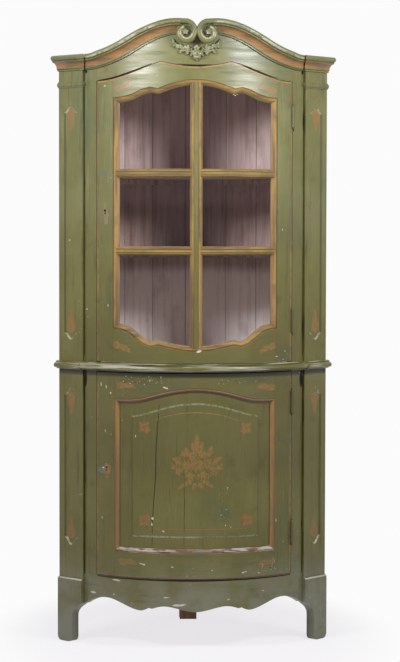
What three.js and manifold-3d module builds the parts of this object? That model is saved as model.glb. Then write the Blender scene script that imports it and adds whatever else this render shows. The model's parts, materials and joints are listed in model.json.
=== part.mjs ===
// Two-stage corner cupboard with a bowed front between canted pilasters.
// Millimetres, +Z up, +Y towards the corner of the room, feet on the plane Z = 0.

import * as THREE from 'three';
import { mergeVertices } from 'three/addons/utils/BufferGeometryUtils.js';
import Module from 'manifold-3d';

const wasm = await Module();
wasm.setup();

// Clearances
const fit = 0.3; // between pieces that touch
const doorGap = 2; // round each door
const overrun = 5; // how far a cutter passes a face
const lap = 1; // how far two fused bodies reach into each other
const weld = 0.001; // vertices closer than this are one

// Plan: the walls meet at a right angle behind, the pilasters stand square to them
const halfWidth = 500; // centre line to a pilaster's outer edge
const pilasterWidth = 125;
const pilasterThick = 26;
const pilasterProud = 8; // pilaster face in front of the bow where they meet
const bowRadius = 540;
const bowedThick = 26; // boards of the bowed front
const wallThick = 15;
const jambAcross = 46.955; // pilaster's joint to a door's edge, along the chord
const bowStep = 30; // facet length along the bow
const curveFacets = 6; // facets of each curve of an outline

// Heights
const footHeight = 240;
const apronAbove = 25; // apron rail above the foot blocks
const lowerDoorHeight = 750;
const headroom = 7; // over the lower door
const waistThick = 26;
const sillRise = 5; // upper door above the waist board
const upperDoorHeight = 1025; // at the door's corners
const caseAbove = 92; // pilasters, stiles and wall boards above the upper door's corners

// Feet
const footProud = 9;
const footToeWidth = 75;
const footKnee = 98;
const footShoulder = 150;
const footRound = 22;
const footChamfer = 5;
const kneeShares = { across: 0.5, low: 0.46, high: 0.69 };

// Rear post and corner board
const postWidth = 66;
const postDepth = 75;
const cornerBoardWidth = 109;
const cornerBoardThick = 16;

// Wall boards
const planks = 4;
const grooveWidth = 4;
const grooveDepth = 3;
const lowerBackBottom = 215;
const battenHeight = 20;
const battenDepth = 20;
const battenSetback = 4; // batten's front end behind the pilaster
const battenShort = { upper: 122, lower: 152 }; // far end short of the corner

// Shelves and floors
const shelfThick = 22;
const floorThick = 18;
const shelfBack = 1; // shelf edge behind the bowed boards
const lowerShelfShare = 0.39067; // of the lower door's height
const upperShelfShares = [0.38634, 0.66049]; // of the upper door's height
const topBoardBelow = 22; // below the top of the case

// Sunk panels of the pilasters
const sunkHalf = 30;
const sunkDepth = 5;
const sunkChamfer = 5;
const sunkCentre = 62;
const upperSunkRoom = { below: 85, above: 72, shoulder: 22 }; // from the waist and the astragal
const lowerSunkRoom = { below: 127, above: 76, shoulder: 27 }; // from the foot and the waist

// Neck astragal of the pilasters
const neckBelow = 110; // below the top of the case
const neckHeight = 22;
const neckProud = 10;

// Upper door
const glassInset = 58; // door's edge to the outer line of the glazing moulding
const glassFromCorner = 61.5; // glazing below the door's upper corners
const glassRise = 62;
const glassFromBottom = 122;
const glassDrop = 80.5;
const crestRise = 65; // door's crest above its corners
const crestBevel = 8; // back of the crest lower than its face, so that the door swings clear
const upperMoulding = { width: 20, depth: 12 };
const uprightWidth = 46;
const uprightMoulding = 16;
const crossbarWidth = 33;
const crossbarMoulding = 12;
const tongueHalf = 4;
const halvingDepth = 19;
const glassThick = 3;
const glassEase = 0.5;

// Lower door
const panelInset = 64; // door's edge to the frame's moulding
const panelFromTop = 97;
const panelRise = 44;
const panelFromBottom = 94;
const lowerMoulding = { width: 15, depth: 10 };
const fieldInset = 59; // field inside the frame's moulding
const fieldFromBottom = 56; // field inside the opening of the frame
const fieldFromTop = 60;
const fieldRise = 50;
const fieldBevel = 7;
const fieldDepth = 4;
const marginDepth = 8.5;
const panelBack = 24;
const panelLip = 6; // flat border of the panel behind the moulding's edge

// Apron
const apronLow = 146; // middle lobe
const apronRise = 39;
const apronStep = 15; // facet length of the shaped edge

// Waist moulding
const waistDrop = 3; // below the waist board
const waistHeight = 31;
const waistProud = 29;

// Cornice
const corniceHeight = 56;
const corniceProud = 43;
const corniceAbove = 8; // its top over the top of the case
const neckRise = 117;
const rollRadius = 10;
const neckEnd = 76; // where the raking moulding stops short of the volute
const rollLead = 7; // how far the volute's roll runs back into the moulding
const rollSides = 6;
const friezeDrop = 18; // frieze board below the raking cornice

// Volutes
const voluteAcross = 39.2;
const voluteAbove = 67; // its middle over the top of the cornice
const voluteStart = 39.5;
const voluteDisc = 33;
const voluteDiscDepth = 25;
const eyeRadius = 16;
const eyeDepth = 13;
const eyeShares = { shoulder: 0.8, rise: 0.7 };
const rollEndRadius = 8;
const rollSteps = 18;
const discSides = 18;

// Festoon
const swagHalf = 84;
const swagAbove = 33; // its ends over the top of the cornice
const swagSag = 34;
const swagThick = 15;
const swagDepth = 17;
const swagBunches = 7;
const bunchShare = 0.34; // how deep the hollows between bunches are
const pendantBelow = 18; // flower below the top of the cornice
const flowerRadius = 19;
const flowerDepth = 20;
const flowerShares = [[1, 0.05], [0.92, 0.45], [0.66, 0.75], [0.4, 0.62], [0.2, 1]]; // reach and height
const petals = 5;
const petalShare = 0.2;
const petalSteps = 4;
const bunchSteps = 6;
const swagSides = 5;
const stalkHalf = 9;

// Hinges
const hingeLength = 80;
const hingeFromEnds = { upper: [148, 125], lower: [151, 114] }; // from the door's bottom and top
const knuckleRadius = 6;
const knuckleProud = 4; // hinge axis in front of the bow
const pinRadius = 3;
const pinEase = 0.3;
const finialLength = 7;
const finialShares = { foot: 0.9, tip: 0.25 };
const knuckleSides = 14;
const pinSides = 12;
const recessSides = 16;
const finialSides = 10;
const leafThick = 1.8;
const leafOffset = 0.9; // leaf's near face from the middle of the joint
const leafDepth = 24;
const pinShort = 6;

// Locks
const lockShares = { upper: 0.52976, lower: 0.52133 }; // of the door's height
const lockBorder = 10; // case from the door's edge, along the bow
const lockClear = 15.4; // case from the glazing moulding
const lockHalfHeight = 34;
const lockFront = 13;
const lockBack = 27;
const boltThick = 6;
const boltMiddle = 20;
const boltHalfHeight = 8;
const boltTravel = 10;
const boltEase = 0.4;
const keyAcross = 10;
const keyRadius = 3.5;
const keySlotHalf = 1.6;
const keySlotDrop = 12;
const keySides = 12;

// Outlines as shares of a half span and of a rise: place, height, slope before and slope after
const crestShares = [[0, 0.71, 0, 0], [0.362, 1, 1.3, -2], [1, 0, 0, 0]];
const glassTopShares = [
  [0, 1, 0, 0], [0.465, 0.473, -2.18, 2.18], [0.558, 0.58, 0, 0], [0.87, 0.056, -0.29, -0.29], [1, 0, 0, 0],
];
const glassBottomShares = [
  [0, 1, 0, 0], [0.458, 0.727, -0.935, 1.12], [0.551, 0.8, 0, 0], [0.904, 0.031, -0.3, -0.3], [1, 0, 0, 0],
];
const panelTopShares = [[0, 1, 0, 0], [0.5, 0.47, -1.9, -1.9], [0.8, 0.02, -0.1, -0.1], [1, 0, 0, 0]];
const fieldTopShares = [[0, 1, 0, 0], [0.5, 0.65, -1.4, -1.4], [1, 0, -0.8, 0]];
const apronShares = [
  [0, 0, 0, 0], [0.285, 0.51, 0, 0], [0.39, 0.25, -3.2, 4], [0.42, 0.31, 0, -4.5],
  [0.485, 0.03, 0, 0], [0.8, 1, 0, 0], [1, 0.1, -8, 0],
];
const neckShares = [
  [0, 0.74, 0, 1.2], [0.094, 0.966, 1.4, 1.4], [0.177, 1, 0, 0], [0.616, 0.427, -2.15, -2.15], [1, 0, 0, 0],
];
const crownShare = 0.3; // bars end on the crown of the moulding that they meet
const mouldingShares = [
  [0, 0.04], [0.08, 0.2], [crownShare, 0], [0.56, 0.12], [0.76, 0.5], [1, 0.78], [1, 1],
];
const corniceShares = [
  [0.02, 0], [0.77, 0], [0.93, 0.06], [1, 0.18], [0.93, 0.295], [0.8, 0.335], [0.77, 0.355],
  [0.82, 0.4], [0.76, 0.44], [0.57, 0.485], [0.4, 0.57], [0.3, 0.68], [0.245, 0.835],
  [0.28, 0.875], [0.17, 0.905], [0.165, 1], [0.02, 1],
];
const waistShares = [
  [0.02, 0], [0.35, 0], [0.66, 0.1], [0.6, 0.21], [0.9, 0.33], [1, 0.55], [0.9, 0.77], [0.5, 0.88],
  [0.4, 0.98], [0.02, 1],
];
const neckShare = [
  [-0.15, 0], [0.4, 0], [0.45, 0.14], [0.75, 0.22], [1, 0.5],
  [0.75, 0.78], [0.45, 0.86], [0.4, 1], [-0.15, 1],
];
const voluteShares = [
  [0, 1, 0, -1.6], [0.25, 0.73, -0.4, -0.4], [0.5, 0.74, -0.1, -0.1],
  [0.75, 0.6, -0.9, -0.9], [1, 0.38, -0.8, 0],
];
const headShares = {
  nibAcross: 0.74, nibUp: 0.1, hollowAcross: 0.55, hollowUp: 0.2, crownAcross: 0.3,
};

// Levels and places worked out from the sizes above
const diagonal = Math.SQRT1_2;
const jointX = halfWidth - (pilasterWidth + pilasterProud) * diagonal;
const jointY = (pilasterProud - pilasterWidth) * diagonal;
const bowCentre = jointY + Math.sqrt(bowRadius ** 2 - jointX ** 2);
const doorHalf = jointX - jambAcross;
const glassHalf = doorHalf - glassInset;
const panelHalf = doorHalf - panelInset;
const fieldHalf = panelHalf - fieldInset;
const doorTurn = Math.asin(doorHalf / bowRadius);
const jambTurn = doorTurn + doorGap / bowRadius;
const glassTurn = Math.asin(glassHalf / bowRadius);
const lockHalf = (bowRadius * (doorTurn - glassTurn) - lockBorder - lockClear) / 2;
const lockFromEdge = lockBorder + lockHalf; // middle of the case
const jambHalf = bowRadius * Math.sin(jambTurn);
const apronTop = footHeight + apronAbove;
const lowerDoorBottom = apronTop + doorGap;
const lowerDoorTop = lowerDoorBottom + lowerDoorHeight;
const waistBottom = lowerDoorTop + headroom;
const waistTop = waistBottom + waistThick;
const upperDoorBottom = waistTop + sillRise;
const upperDoorCorner = upperDoorBottom + upperDoorHeight;
const caseTop = upperDoorCorner + caseAbove;
const corniceTop = caseTop + corniceAbove;
const topBoardHeight = caseTop - topBoardBelow;
const neckBottom = caseTop - neckBelow;
const upperSunk = {
  bottom: waistTop + upperSunkRoom.below,
  top: neckBottom - upperSunkRoom.above,
  shoulder: upperSunkRoom.shoulder,
};
const lowerSunk = {
  bottom: footHeight + lowerSunkRoom.below,
  top: waistBottom - lowerSunkRoom.above,
  shoulder: lowerSunkRoom.shoulder,
};
const lowerShelfHeight = lowerDoorBottom + lowerDoorHeight * lowerShelfShare;
const upperShelfHeights = upperShelfShares.map((share) => upperDoorBottom + upperDoorHeight * share);
const glassCornerTop = upperDoorCorner - glassFromCorner;
const glassCornerBottom = upperDoorBottom + glassFromBottom;
const panelCornerTop = lowerDoorTop - panelFromTop;
const panelBottom = lowerDoorBottom + panelFromBottom;
const fieldBottom = panelBottom + fieldFromBottom;
const fieldCornerTop = panelCornerTop - fieldFromTop;
const voluteHeight = corniceTop + voluteAbove;
const swagTop = corniceTop + swagAbove;
const pendantHeight = corniceTop - pendantBelow;
const hingeHeights = {
  upper: [upperDoorBottom + hingeFromEnds.upper[0], upperDoorCorner - hingeFromEnds.upper[1]],
  lower: [lowerDoorBottom + hingeFromEnds.lower[0], lowerDoorTop - hingeFromEnds.lower[1]],
};
const lockHeights = {
  upper: upperDoorBottom + upperDoorHeight * lockShares.upper,
  lower: lowerDoorBottom + lowerDoorHeight * lockShares.lower,
};
const wallReach = halfWidth / diagonal;
const battenReach = {
  upper: wallReach - battenShort.upper,
  lower: wallReach - battenShort.lower,
};
const backReach = halfWidth - postWidth / 2; // the cut-off rear corner
const wallLine = halfWidth - (wallThick + fit) / diagonal; // across plus back, on a wall board's inner face

// Colours of the finishes
const finishes = {
  green: new THREE.MeshStandardMaterial({ color: 0x6b6c43, roughness: 0.55, metalness: 0 }),
  cornice: new THREE.MeshStandardMaterial({ color: 0x77774f, roughness: 0.45, metalness: 0 }),
  mauve: new THREE.MeshStandardMaterial({ color: 0xa597a0, roughness: 0.85, metalness: 0 }),
  pine: new THREE.MeshStandardMaterial({ color: 0x8a4a34, roughness: 0.8, metalness: 0 }),
  glass: new THREE.MeshStandardMaterial({
    color: 0xdfe8e6, roughness: 0.05, metalness: 0, transparent: true, opacity: 0.25,
  }),
  iron: new THREE.MeshStandardMaterial({ color: 0x4a463f, roughness: 0.5, metalness: 0.8 }),
};

// Bodies, joined and cut
function toManifold(geometry) {
  const bare = new THREE.BufferGeometry();
  bare.setAttribute('position', geometry.getAttribute('position'));
  bare.setIndex(geometry.index);
  const merged = mergeVertices(bare, weld);
  const corners = merged.index.array;
  const kept = [];
  for (let i = 0; i < corners.length; i += 3) {
    const [a, b, c] = [corners[i], corners[i + 1], corners[i + 2]];
    if (a !== b && b !== c && c !== a) {
      kept.push(a, b, c);
    }
  }
  return new wasm.Manifold(new wasm.Mesh({
    numProp: 3,
    vertProperties: Float32Array.from(merged.getAttribute('position').array),
    triVerts: Uint32Array.from(kept),
  }));
}

function toGeometry(body) {
  const mesh = body.getMesh();
  const geometry = new THREE.BufferGeometry();
  geometry.setAttribute('position', new THREE.BufferAttribute(Float32Array.from(mesh.vertProperties), 3));
  geometry.setIndex(new THREE.BufferAttribute(Uint32Array.from(mesh.triVerts), 1));
  return geometry;
}

function join(...geometries) {
  return toGeometry(geometries.map(toManifold).reduce((whole, piece) => whole.add(piece)));
}

function cut(geometry, ...cutters) {
  const bodies = cutters.map(toManifold);
  return toGeometry(bodies.reduce((left, cutter) => left.subtract(cutter), toManifold(geometry)));
}

function shifted(geometry, x, y, z) {
  return geometry.clone().translate(x, y, z);
}

// The same body on the other side of the centre line
function mirrored(geometry) {
  const twin = geometry.clone().scale(-1, 1, 1);
  const corners = Array.from(twin.index.array);
  for (let i = 0; i < corners.length; i += 3) {
    [corners[i], corners[i + 1]] = [corners[i + 1], corners[i]];
  }
  twin.setIndex(corners);
  return twin;
}

// A closed body through rings of the same number of points
function loft(rings) {
  const count = rings[0].length;
  const index = [];
  for (let r = 0; r < rings.length - 1; r += 1) {
    for (let k = 0; k < count; k += 1) {
      const a = r * count + k;
      const b = r * count + ((k + 1) % count);
      index.push(a, b, b + count, a, b + count, a + count);
    }
  }
  index.push(...cap(rings[0], 0, false), ...cap(rings.at(-1), (rings.length - 1) * count, true));
  const geometry = new THREE.BufferGeometry().setFromPoints(rings.flat());
  geometry.setIndex(index);
  return outward(geometry);
}

// Triangles that close a ring, turned with its points or against them
function cap(ring, first, along) {
  const normal = new THREE.Vector3();
  ring.forEach((point, k) => normal.add(point.clone().cross(ring[(k + 1) % ring.length])));
  normal.normalize();
  const side = ring[1].clone().sub(ring[0]).normalize();
  const up = normal.clone().cross(side);
  const flat = ring.map((point) => new THREE.Vector2(point.dot(side), point.dot(up)));
  const triangles = THREE.ShapeUtils.triangulateShape(flat, []);
  return triangles.flatMap(([a, b, c]) => {
    const turn = flat[b].clone().sub(flat[a]).cross(flat[c].clone().sub(flat[a]));
    const ordered = turn > 0 === along ? [a, b, c] : [a, c, b];
    return ordered.map((k) => first + k);
  });
}

// Faces pointing out, whichever way the rings ran
function outward(geometry) {
  const place = geometry.getAttribute('position');
  const corners = Array.from(geometry.index.array);
  const [a, b, c] = [new THREE.Vector3(), new THREE.Vector3(), new THREE.Vector3()];
  let volume = 0;
  for (let i = 0; i < corners.length; i += 3) {
    a.fromBufferAttribute(place, corners[i]);
    b.fromBufferAttribute(place, corners[i + 1]);
    c.fromBufferAttribute(place, corners[i + 2]);
    volume += a.dot(b.cross(c));
  }
  if (volume < 0) {
    for (let i = 0; i < corners.length; i += 3) {
      [corners[i], corners[i + 1]] = [corners[i + 1], corners[i]];
    }
    geometry.setIndex(corners);
  }
  return geometry;
}

// Extrusions of a flat outline, upwards, backwards and across
function indexed(geometry) {
  geometry.deleteAttribute('normal');
  geometry.deleteAttribute('uv');
  return mergeVertices(geometry, weld);
}

function extrude(outline, length, bevel = {}) {
  const shape = outline instanceof THREE.Shape ? outline : new THREE.Shape(outline);
  const settings = { depth: length, bevelEnabled: false, curveSegments: curveFacets, ...bevel };
  return indexed(new THREE.ExtrudeGeometry(shape, settings));
}

function extrudeUp(outline, bottom, top) {
  return extrude(outline, top - bottom).translate(0, 0, bottom);
}

function extrudeBack(outline, front, back) {
  return extrude(outline, back - front).rotateX(Math.PI / 2).translate(0, back, 0);
}

function extrudeAcross(outline, from, to) {
  const turned = new THREE.Matrix4().makeBasis(
    new THREE.Vector3(0, 1, 0), new THREE.Vector3(0, 0, 1), new THREE.Vector3(1, 0, 0),
  );
  return extrude(outline, to - from).applyMatrix4(turned).translate(from, 0, 0);
}

function points(rows) {
  return rows.map(([x, y]) => new THREE.Vector2(x, y));
}

function block(x0, x1, y0, y1, z0, z1) {
  return extrudeUp(points([[x0, y0], [x1, y0], [x1, y1], [x0, y1]]), z0, z1);
}

function upright(radius, bottom, top, sides) {
  const geometry = new THREE.CylinderGeometry(radius, radius, top - bottom, sides);
  return indexed(geometry.rotateX(Math.PI / 2).translate(0, 0, (bottom + top) / 2));
}

// A smooth line through rows of shares, alike on both sides of the centre line
function serpentine(rows, span, rise) {
  return (across) => {
    const at = Math.min(Math.abs(across) / span, 1);
    const next = Math.max(1, rows.findIndex((row) => row[0] >= at));
    const [start, low, , leave] = rows[next - 1];
    const [end, high, arrive] = rows[next];
    const width = end - start;
    const t = (at - start) / width;
    const rest = 1 - t;
    const ends = low * rest * rest * (1 + 2 * t) + high * t * t * (3 - 2 * t);
    const slopes = width * (leave * t * rest * rest - arrive * t * t * rest);
    return rise * (ends + slopes);
  };
}

// How much longer a vertical step is than the same step square to a sloping line
function steepness(line, across) {
  const slope = (line(across + lap) - line(across - lap)) / (lap + lap);
  return Math.hypot(1, slope);
}

// Places between two ends, never further apart than the facet length, with every kink among them
function stations(from, to, kinks = [], step = bowStep) {
  const knots = [from, ...kinks.filter((knot) => knot > from && knot < to).sort((a, b) => a - b), to];
  const places = [from];
  knots.slice(1).forEach((knot, k) => {
    const count = Math.max(1, Math.round((knot - knots[k]) / step));
    for (let i = 1; i <= count; i += 1) {
      places.push(knots[k] + ((knot - knots[k]) * i) / count);
    }
  });
  return places;
}

function bothSides(rows, span) {
  return rows.flatMap(([share]) => [share * span, -share * span]).filter((place) => place !== 0);
}

// A point of the bow from its place across the chord, its depth behind the face and its height
function onBow(across, depth, height) {
  const turn = Math.asin(across / bowRadius);
  const reach = bowRadius - depth;
  return new THREE.Vector3(Math.sin(turn) * reach, -Math.cos(turn) * reach, height);
}

// A bowed piece from a section of rows: depth, inset of its ends, height along the chord
function bowed(places, section) {
  const [from, to] = [places[0], places.at(-1)];
  return loft(places.map((place) => section.map(([depth, inset, height]) => {
    const across = Math.min(Math.max(place, from + inset), to - inset);
    return onBow(across, depth, height(across));
  })));
}

function level(height) {
  return () => height;
}

function above(line, base) {
  return (across) => base + line(across);
}

function below(line, base) {
  return (across) => base - line(across);
}

// Lines of the front
const crest = above(serpentine(crestShares, doorHalf, crestRise), upperDoorCorner);
const glassTop = above(serpentine(glassTopShares, glassHalf, glassRise), glassCornerTop);
const glassBottom = below(serpentine(glassBottomShares, glassHalf, glassDrop), glassCornerBottom);
const panelTop = above(serpentine(panelTopShares, panelHalf, panelRise), panelCornerTop);
const fieldTop = above(serpentine(fieldTopShares, fieldHalf, fieldRise), fieldCornerTop);
const apronEdge = above(serpentine(apronShares, jointX, apronRise), apronLow);
const neckTop = above(serpentine(neckShares, jointX, neckRise), corniceTop);

// The scene graph: the carcass, its two canted sides and the pieces laid out round the bow's centre
const cupboard = new THREE.Group();
const bow = new THREE.Group();
bow.position.y = bowCentre;
const leftSide = new THREE.Group();
leftSide.position.x = -halfWidth;
leftSide.rotation.z = -Math.PI / 4;
const rightSide = new THREE.Group();
rightSide.position.x = halfWidth;
rightSide.rotation.z = Math.PI / 4;
cupboard.add(bow, leftSide, rightSide);

function add(parent, name, geometry, finish) {
  const mesh = new THREE.Mesh(geometry, finishes[finish]);
  mesh.name = name;
  parent.add(mesh);
  return mesh;
}

function addPair(parents, name, geometry, finish) {
  add(parents[0], `${name}_left`, geometry, finish);
  add(parents[1], `${name}_right`, mirrored(geometry), finish);
}

// Pilasters: on a side, x runs in from the wall, y runs back from the pilaster's face
function sunkOutline({ bottom, top, shoulder }) {
  const half = sunkHalf;
  const { nibAcross, nibUp, hollowAcross, hollowUp, crownAcross } = headShares;
  const shape = new THREE.Shape();
  const head = (side, peak, turn) => {
    const springing = peak - turn * shoulder;
    return {
      spring: [sunkCentre + side * half, springing],
      nib: [sunkCentre + side * half * nibAcross, springing + turn * shoulder * nibUp],
      hollow: [sunkCentre + side * half * hollowAcross, springing + turn * shoulder * hollowUp],
      crown: [sunkCentre + side * half * crownAcross, peak],
      peak: [sunkCentre, peak],
    };
  };
  const [downLeft, downRight] = [head(-1, bottom, -1), head(1, bottom, -1)];
  const [upRight, upLeft] = [head(1, top, 1), head(-1, top, 1)];
  shape.moveTo(...downLeft.spring);
  shape.lineTo(...downLeft.nib);
  shape.bezierCurveTo(...downLeft.hollow, ...downLeft.crown, ...downLeft.peak);
  shape.bezierCurveTo(...downRight.crown, ...downRight.hollow, ...downRight.nib);
  shape.lineTo(...downRight.spring);
  shape.lineTo(...upRight.spring);
  shape.lineTo(...upRight.nib);
  shape.bezierCurveTo(...upRight.hollow, ...upRight.crown, ...upRight.peak);
  shape.bezierCurveTo(...upLeft.crown, ...upLeft.hollow, ...upLeft.nib);
  shape.lineTo(...upLeft.spring);
  return shape;
}

function pilaster(bottom, top, sunk) {
  const board = block(0, pilasterWidth, 0, pilasterThick, bottom, top);
  const bevel = { bevelEnabled: true, bevelThickness: sunkDepth, bevelSize: sunkChamfer, bevelSegments: 1 };
  const recess = extrude(sunkOutline(sunk), overrun, bevel).rotateX(Math.PI / 2);
  return cut(board, recess);
}

// A moulding carried along a path of rows: x, y, then the outward step in x and y
function carried(profile, path) {
  return loft(path.map(([x, y, outX, outY]) => profile.map(([out, height]) => (
    new THREE.Vector3(x + outX * out, y + outY * out, height)
  ))));
}

function neckAstragal() {
  const profile = neckShare.map(([out, up]) => [out * neckProud, neckBottom + up * neckHeight]);
  // The bow slopes a little across the return
  const lean = Math.tan(Math.asin(jointX / bowRadius) - Math.PI / 4);
  return carried(profile, [
    [0, 0, 0, -1], [pilasterWidth, 0, 1, -1], [pilasterWidth, pilasterProud - fit, 1, -lean],
  ]);
}

function buildPilasters() {
  const lower = pilaster(footHeight + fit, waistBottom - fit, lowerSunk);
  addPair([leftSide, rightSide], 'lower_pilaster', lower, 'green');
  const upper = join(pilaster(waistTop + fit, caseTop, upperSunk), neckAstragal());
  addPair([leftSide, rightSide], 'upper_pilaster', upper, 'green');
}

// Foot blocks: straight outside, swept into the apron's arch inside, with a rounded toe
function buildFeet() {
  const outline = new THREE.Shape();
  outline.moveTo(0, footHeight);
  outline.lineTo(0, footRound);
  outline.quadraticCurveTo(0, 0, footRound, 0);
  outline.lineTo(footToeWidth - footRound, 0);
  outline.quadraticCurveTo(footToeWidth, 0, footToeWidth, footRound);
  outline.lineTo(footToeWidth, footKnee);
  const sweep = footShoulder - footKnee;
  outline.bezierCurveTo(
    footToeWidth, footKnee + sweep * kneeShares.low,
    footToeWidth + (pilasterWidth - footToeWidth) * kneeShares.across, footKnee + sweep * kneeShares.high,
    pilasterWidth, footShoulder,
  );
  outline.lineTo(pilasterWidth, footHeight);
  const front = -footProud;
  const foot = extrudeBack(outline, front, pilasterThick);
  const chamfer = extrudeAcross(points([
    [front - overrun, footHeight - footChamfer - overrun],
    [front + footChamfer + overrun, footHeight + overrun],
    [front - overrun, footHeight + overrun],
  ]), -overrun, pilasterWidth + overrun);
  addPair([leftSide, rightSide], 'foot', cut(foot, chamfer), 'green');
}

// Wall boards: planks with grooves between them inside, and battens that carry the shelves
function wallBoards(bottom, top, carriedHeights, battenReach) {
  const front = pilasterThick + fit;
  const reach = (halfWidth - postWidth / 2 - fit) / diagonal; // in from the wall plus back
  const plan = [[0, front], [wallThick, front]];
  for (let k = 1; k < planks; k += 1) {
    const joint = front + ((reach - wallThick - front) * k) / planks;
    plan.push([wallThick, joint - grooveWidth / 2]);
    plan.push([wallThick - grooveDepth, joint]);
    plan.push([wallThick, joint + grooveWidth / 2]);
  }
  plan.push([wallThick, reach - wallThick], [0, reach]);
  const battens = carriedHeights.map((height) => block(
    wallThick - grooveDepth - lap, wallThick + battenDepth, front + battenSetback, battenReach,
    height - fit - battenHeight, height - fit,
  ));
  return join(extrudeUp(points(plan), bottom, top), ...battens);
}

function buildWalls() {
  const floorBottom = apronTop - floorThick;
  const lower = wallBoards(
    lowerBackBottom, waistBottom - fit, [floorBottom, lowerShelfHeight], battenReach.lower,
  );
  addPair([leftSide, rightSide], 'lower_back', lower, 'mauve');
  const carriedHeights = [...upperShelfHeights, topBoardHeight];
  const upper = wallBoards(waistTop + fit, caseTop, carriedHeights, battenReach.upper);
  addPair([leftSide, rightSide], 'upper_back', upper, 'mauve');
}

// Rear post, the third foot, and the board across the upper corner
function buildCorner() {
  const half = postWidth / 2;
  const post = block(-half, half, backReach - postDepth, backReach, 0, waistBottom - fit);
  add(cupboard, 'rear_post', post, 'pine');
  const boardHalf = cornerBoardWidth / 2;
  const front = wallLine - boardHalf;
  const plan = [
    [-boardHalf, front], [boardHalf, front],
    [boardHalf - cornerBoardThick, front + cornerBoardThick],
    [cornerBoardThick - boardHalf, front + cornerBoardThick],
  ];
  add(cupboard, 'upper_corner_board', extrudeUp(points(plan), waistTop + fit, caseTop), 'mauve');
}

// Shelves and floors fill the plan inside the walls
function arc(radius, turn) {
  const steps = Math.max(1, Math.round((radius * turn) / bowStep));
  const places = [];
  for (let i = -steps; i <= steps; i += 1) {
    const at = (turn * i) / steps;
    places.push([Math.sin(at) * radius, bowCentre - Math.cos(at) * radius]);
  }
  return places;
}

function onSide(inward, back) {
  return [halfWidth - (inward + back) * diagonal, (back - inward) * diagonal];
}

function shelfPlan(rear) {
  const back = pilasterThick + fit;
  const corners = [onSide(pilasterWidth - fit, back + fit), onSide(wallThick + fit, back + fit)];
  const front = arc(bowRadius - bowedThick - fit - shelfBack, Math.asin(jointX / bowRadius));
  const right = [...corners, ...rear];
  const left = right.map(([x, y]) => [-x, y]).reverse();
  return points([...front, ...right, ...left]);
}

function buildShelves() {
  const half = postWidth / 2 + fit;
  const roundPost = [[half, wallLine - half], [half, backReach - postDepth - fit]];
  const lowerPlan = shelfPlan(roundPost);
  const shelf = extrudeUp(lowerPlan, lowerShelfHeight, lowerShelfHeight + shelfThick);
  add(cupboard, 'lower_bottom_board', extrudeUp(lowerPlan, apronTop - floorThick, apronTop), 'mauve');
  add(cupboard, 'lower_shelf', shelf, 'mauve');
  const upperPlan = shelfPlan([[cornerBoardWidth / 2 + fit, wallLine - cornerBoardWidth / 2 - fit]]);
  ['low', 'high'].forEach((which, k) => {
    const bottom = upperShelfHeights[k];
    add(cupboard, `upper_shelf_${which}`, extrudeUp(upperPlan, bottom, bottom + shelfThick), 'mauve');
  });
  const topBoard = extrudeUp(upperPlan, topBoardHeight, topBoardHeight + floorThick);
  add(cupboard, 'upper_top_board', topBoard, 'mauve');
}

// The waist board is the lower stage's top, and the upper stage stands on it
function buildWaist() {
  const right = [
    onSide(pilasterWidth, pilasterProud), onSide(pilasterWidth, 0),
    [halfWidth, 0], [postWidth / 2, backReach],
  ];
  const left = right.map(([x, y]) => [-x, y]).reverse();
  const front = arc(bowRadius, Math.asin(jointX / bowRadius)).slice(1, -1);
  const board = extrudeUp(points([...front, ...right, ...left]), waistBottom, waistTop);
  add(cupboard, 'waist_board', board, 'mauve');

  const profile = waistShares.map(([out, down]) => [
    out * waistProud, waistBottom - waistDrop + waistHeight * (1 - down),
  ]);
  const end = jointX - fit;
  const rounded = stations(-end, end).map((across, k, places) => {
    const spot = onBow(across, 0, 0);
    const square = k === 0 || k === places.length - 1;
    const radial = [spot.x / bowRadius, spot.y / bowRadius];
    const outward = square ? [Math.sign(across) * diagonal, -diagonal] : radial;
    return [spot.x, spot.y + bowCentre, ...outward];
  });
  const [inner, outer] = [onSide(pilasterWidth + fit + lap, 0), [halfWidth, 0]];
  const rightReturn = [[...inner, diagonal, -diagonal], [...outer, diagonal, -diagonal]];
  const leftReturn = rightReturn.map(([x, y, outX, outY]) => [-x, y, -outX, outY]);
  const lengths = [rounded, rightReturn, leftReturn].map((path) => carried(profile, path));
  add(cupboard, 'waist_moulding', join(...lengths), 'cornice');
}

// The bowed front: stiles, apron rail and frieze board
function bowedBoard(from, to, bottom, top, kinks = [], topBack = top, step = bowStep) {
  return bowed(stations(from, to, kinks, step), [
    [bowedThick, 0, topBack], [0, 0, top], [0, 0, bottom], [bowedThick, 0, bottom],
  ]);
}

// A piece worked out at the bow's centre line and turned to its place on the bow
function turned(geometry, turn) {
  return geometry.clone().translate(0, -bowRadius, 0).rotateZ(turn);
}

function hingeRecess(height, side) {
  const half = hingeLength / 2 + fit;
  const [near, far] = [-side * lap, side * (leafOffset + leafThick + fit)].sort((a, b) => a - b);
  const pocket = block(near, far, -overrun, leafDepth + fit, height - half, height + half);
  const knuckleHalf = half + finialLength;
  const barrel = upright(knuckleRadius + fit + fit, height - knuckleHalf, height + knuckleHalf, recessSides);
  return join(pocket, shifted(barrel, 0, -knuckleProud, 0));
}

const pivotTurn = doorTurn + doorGap / bowRadius / 2;
const lockTurn = lockFromEdge / bowRadius - doorTurn;

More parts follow.
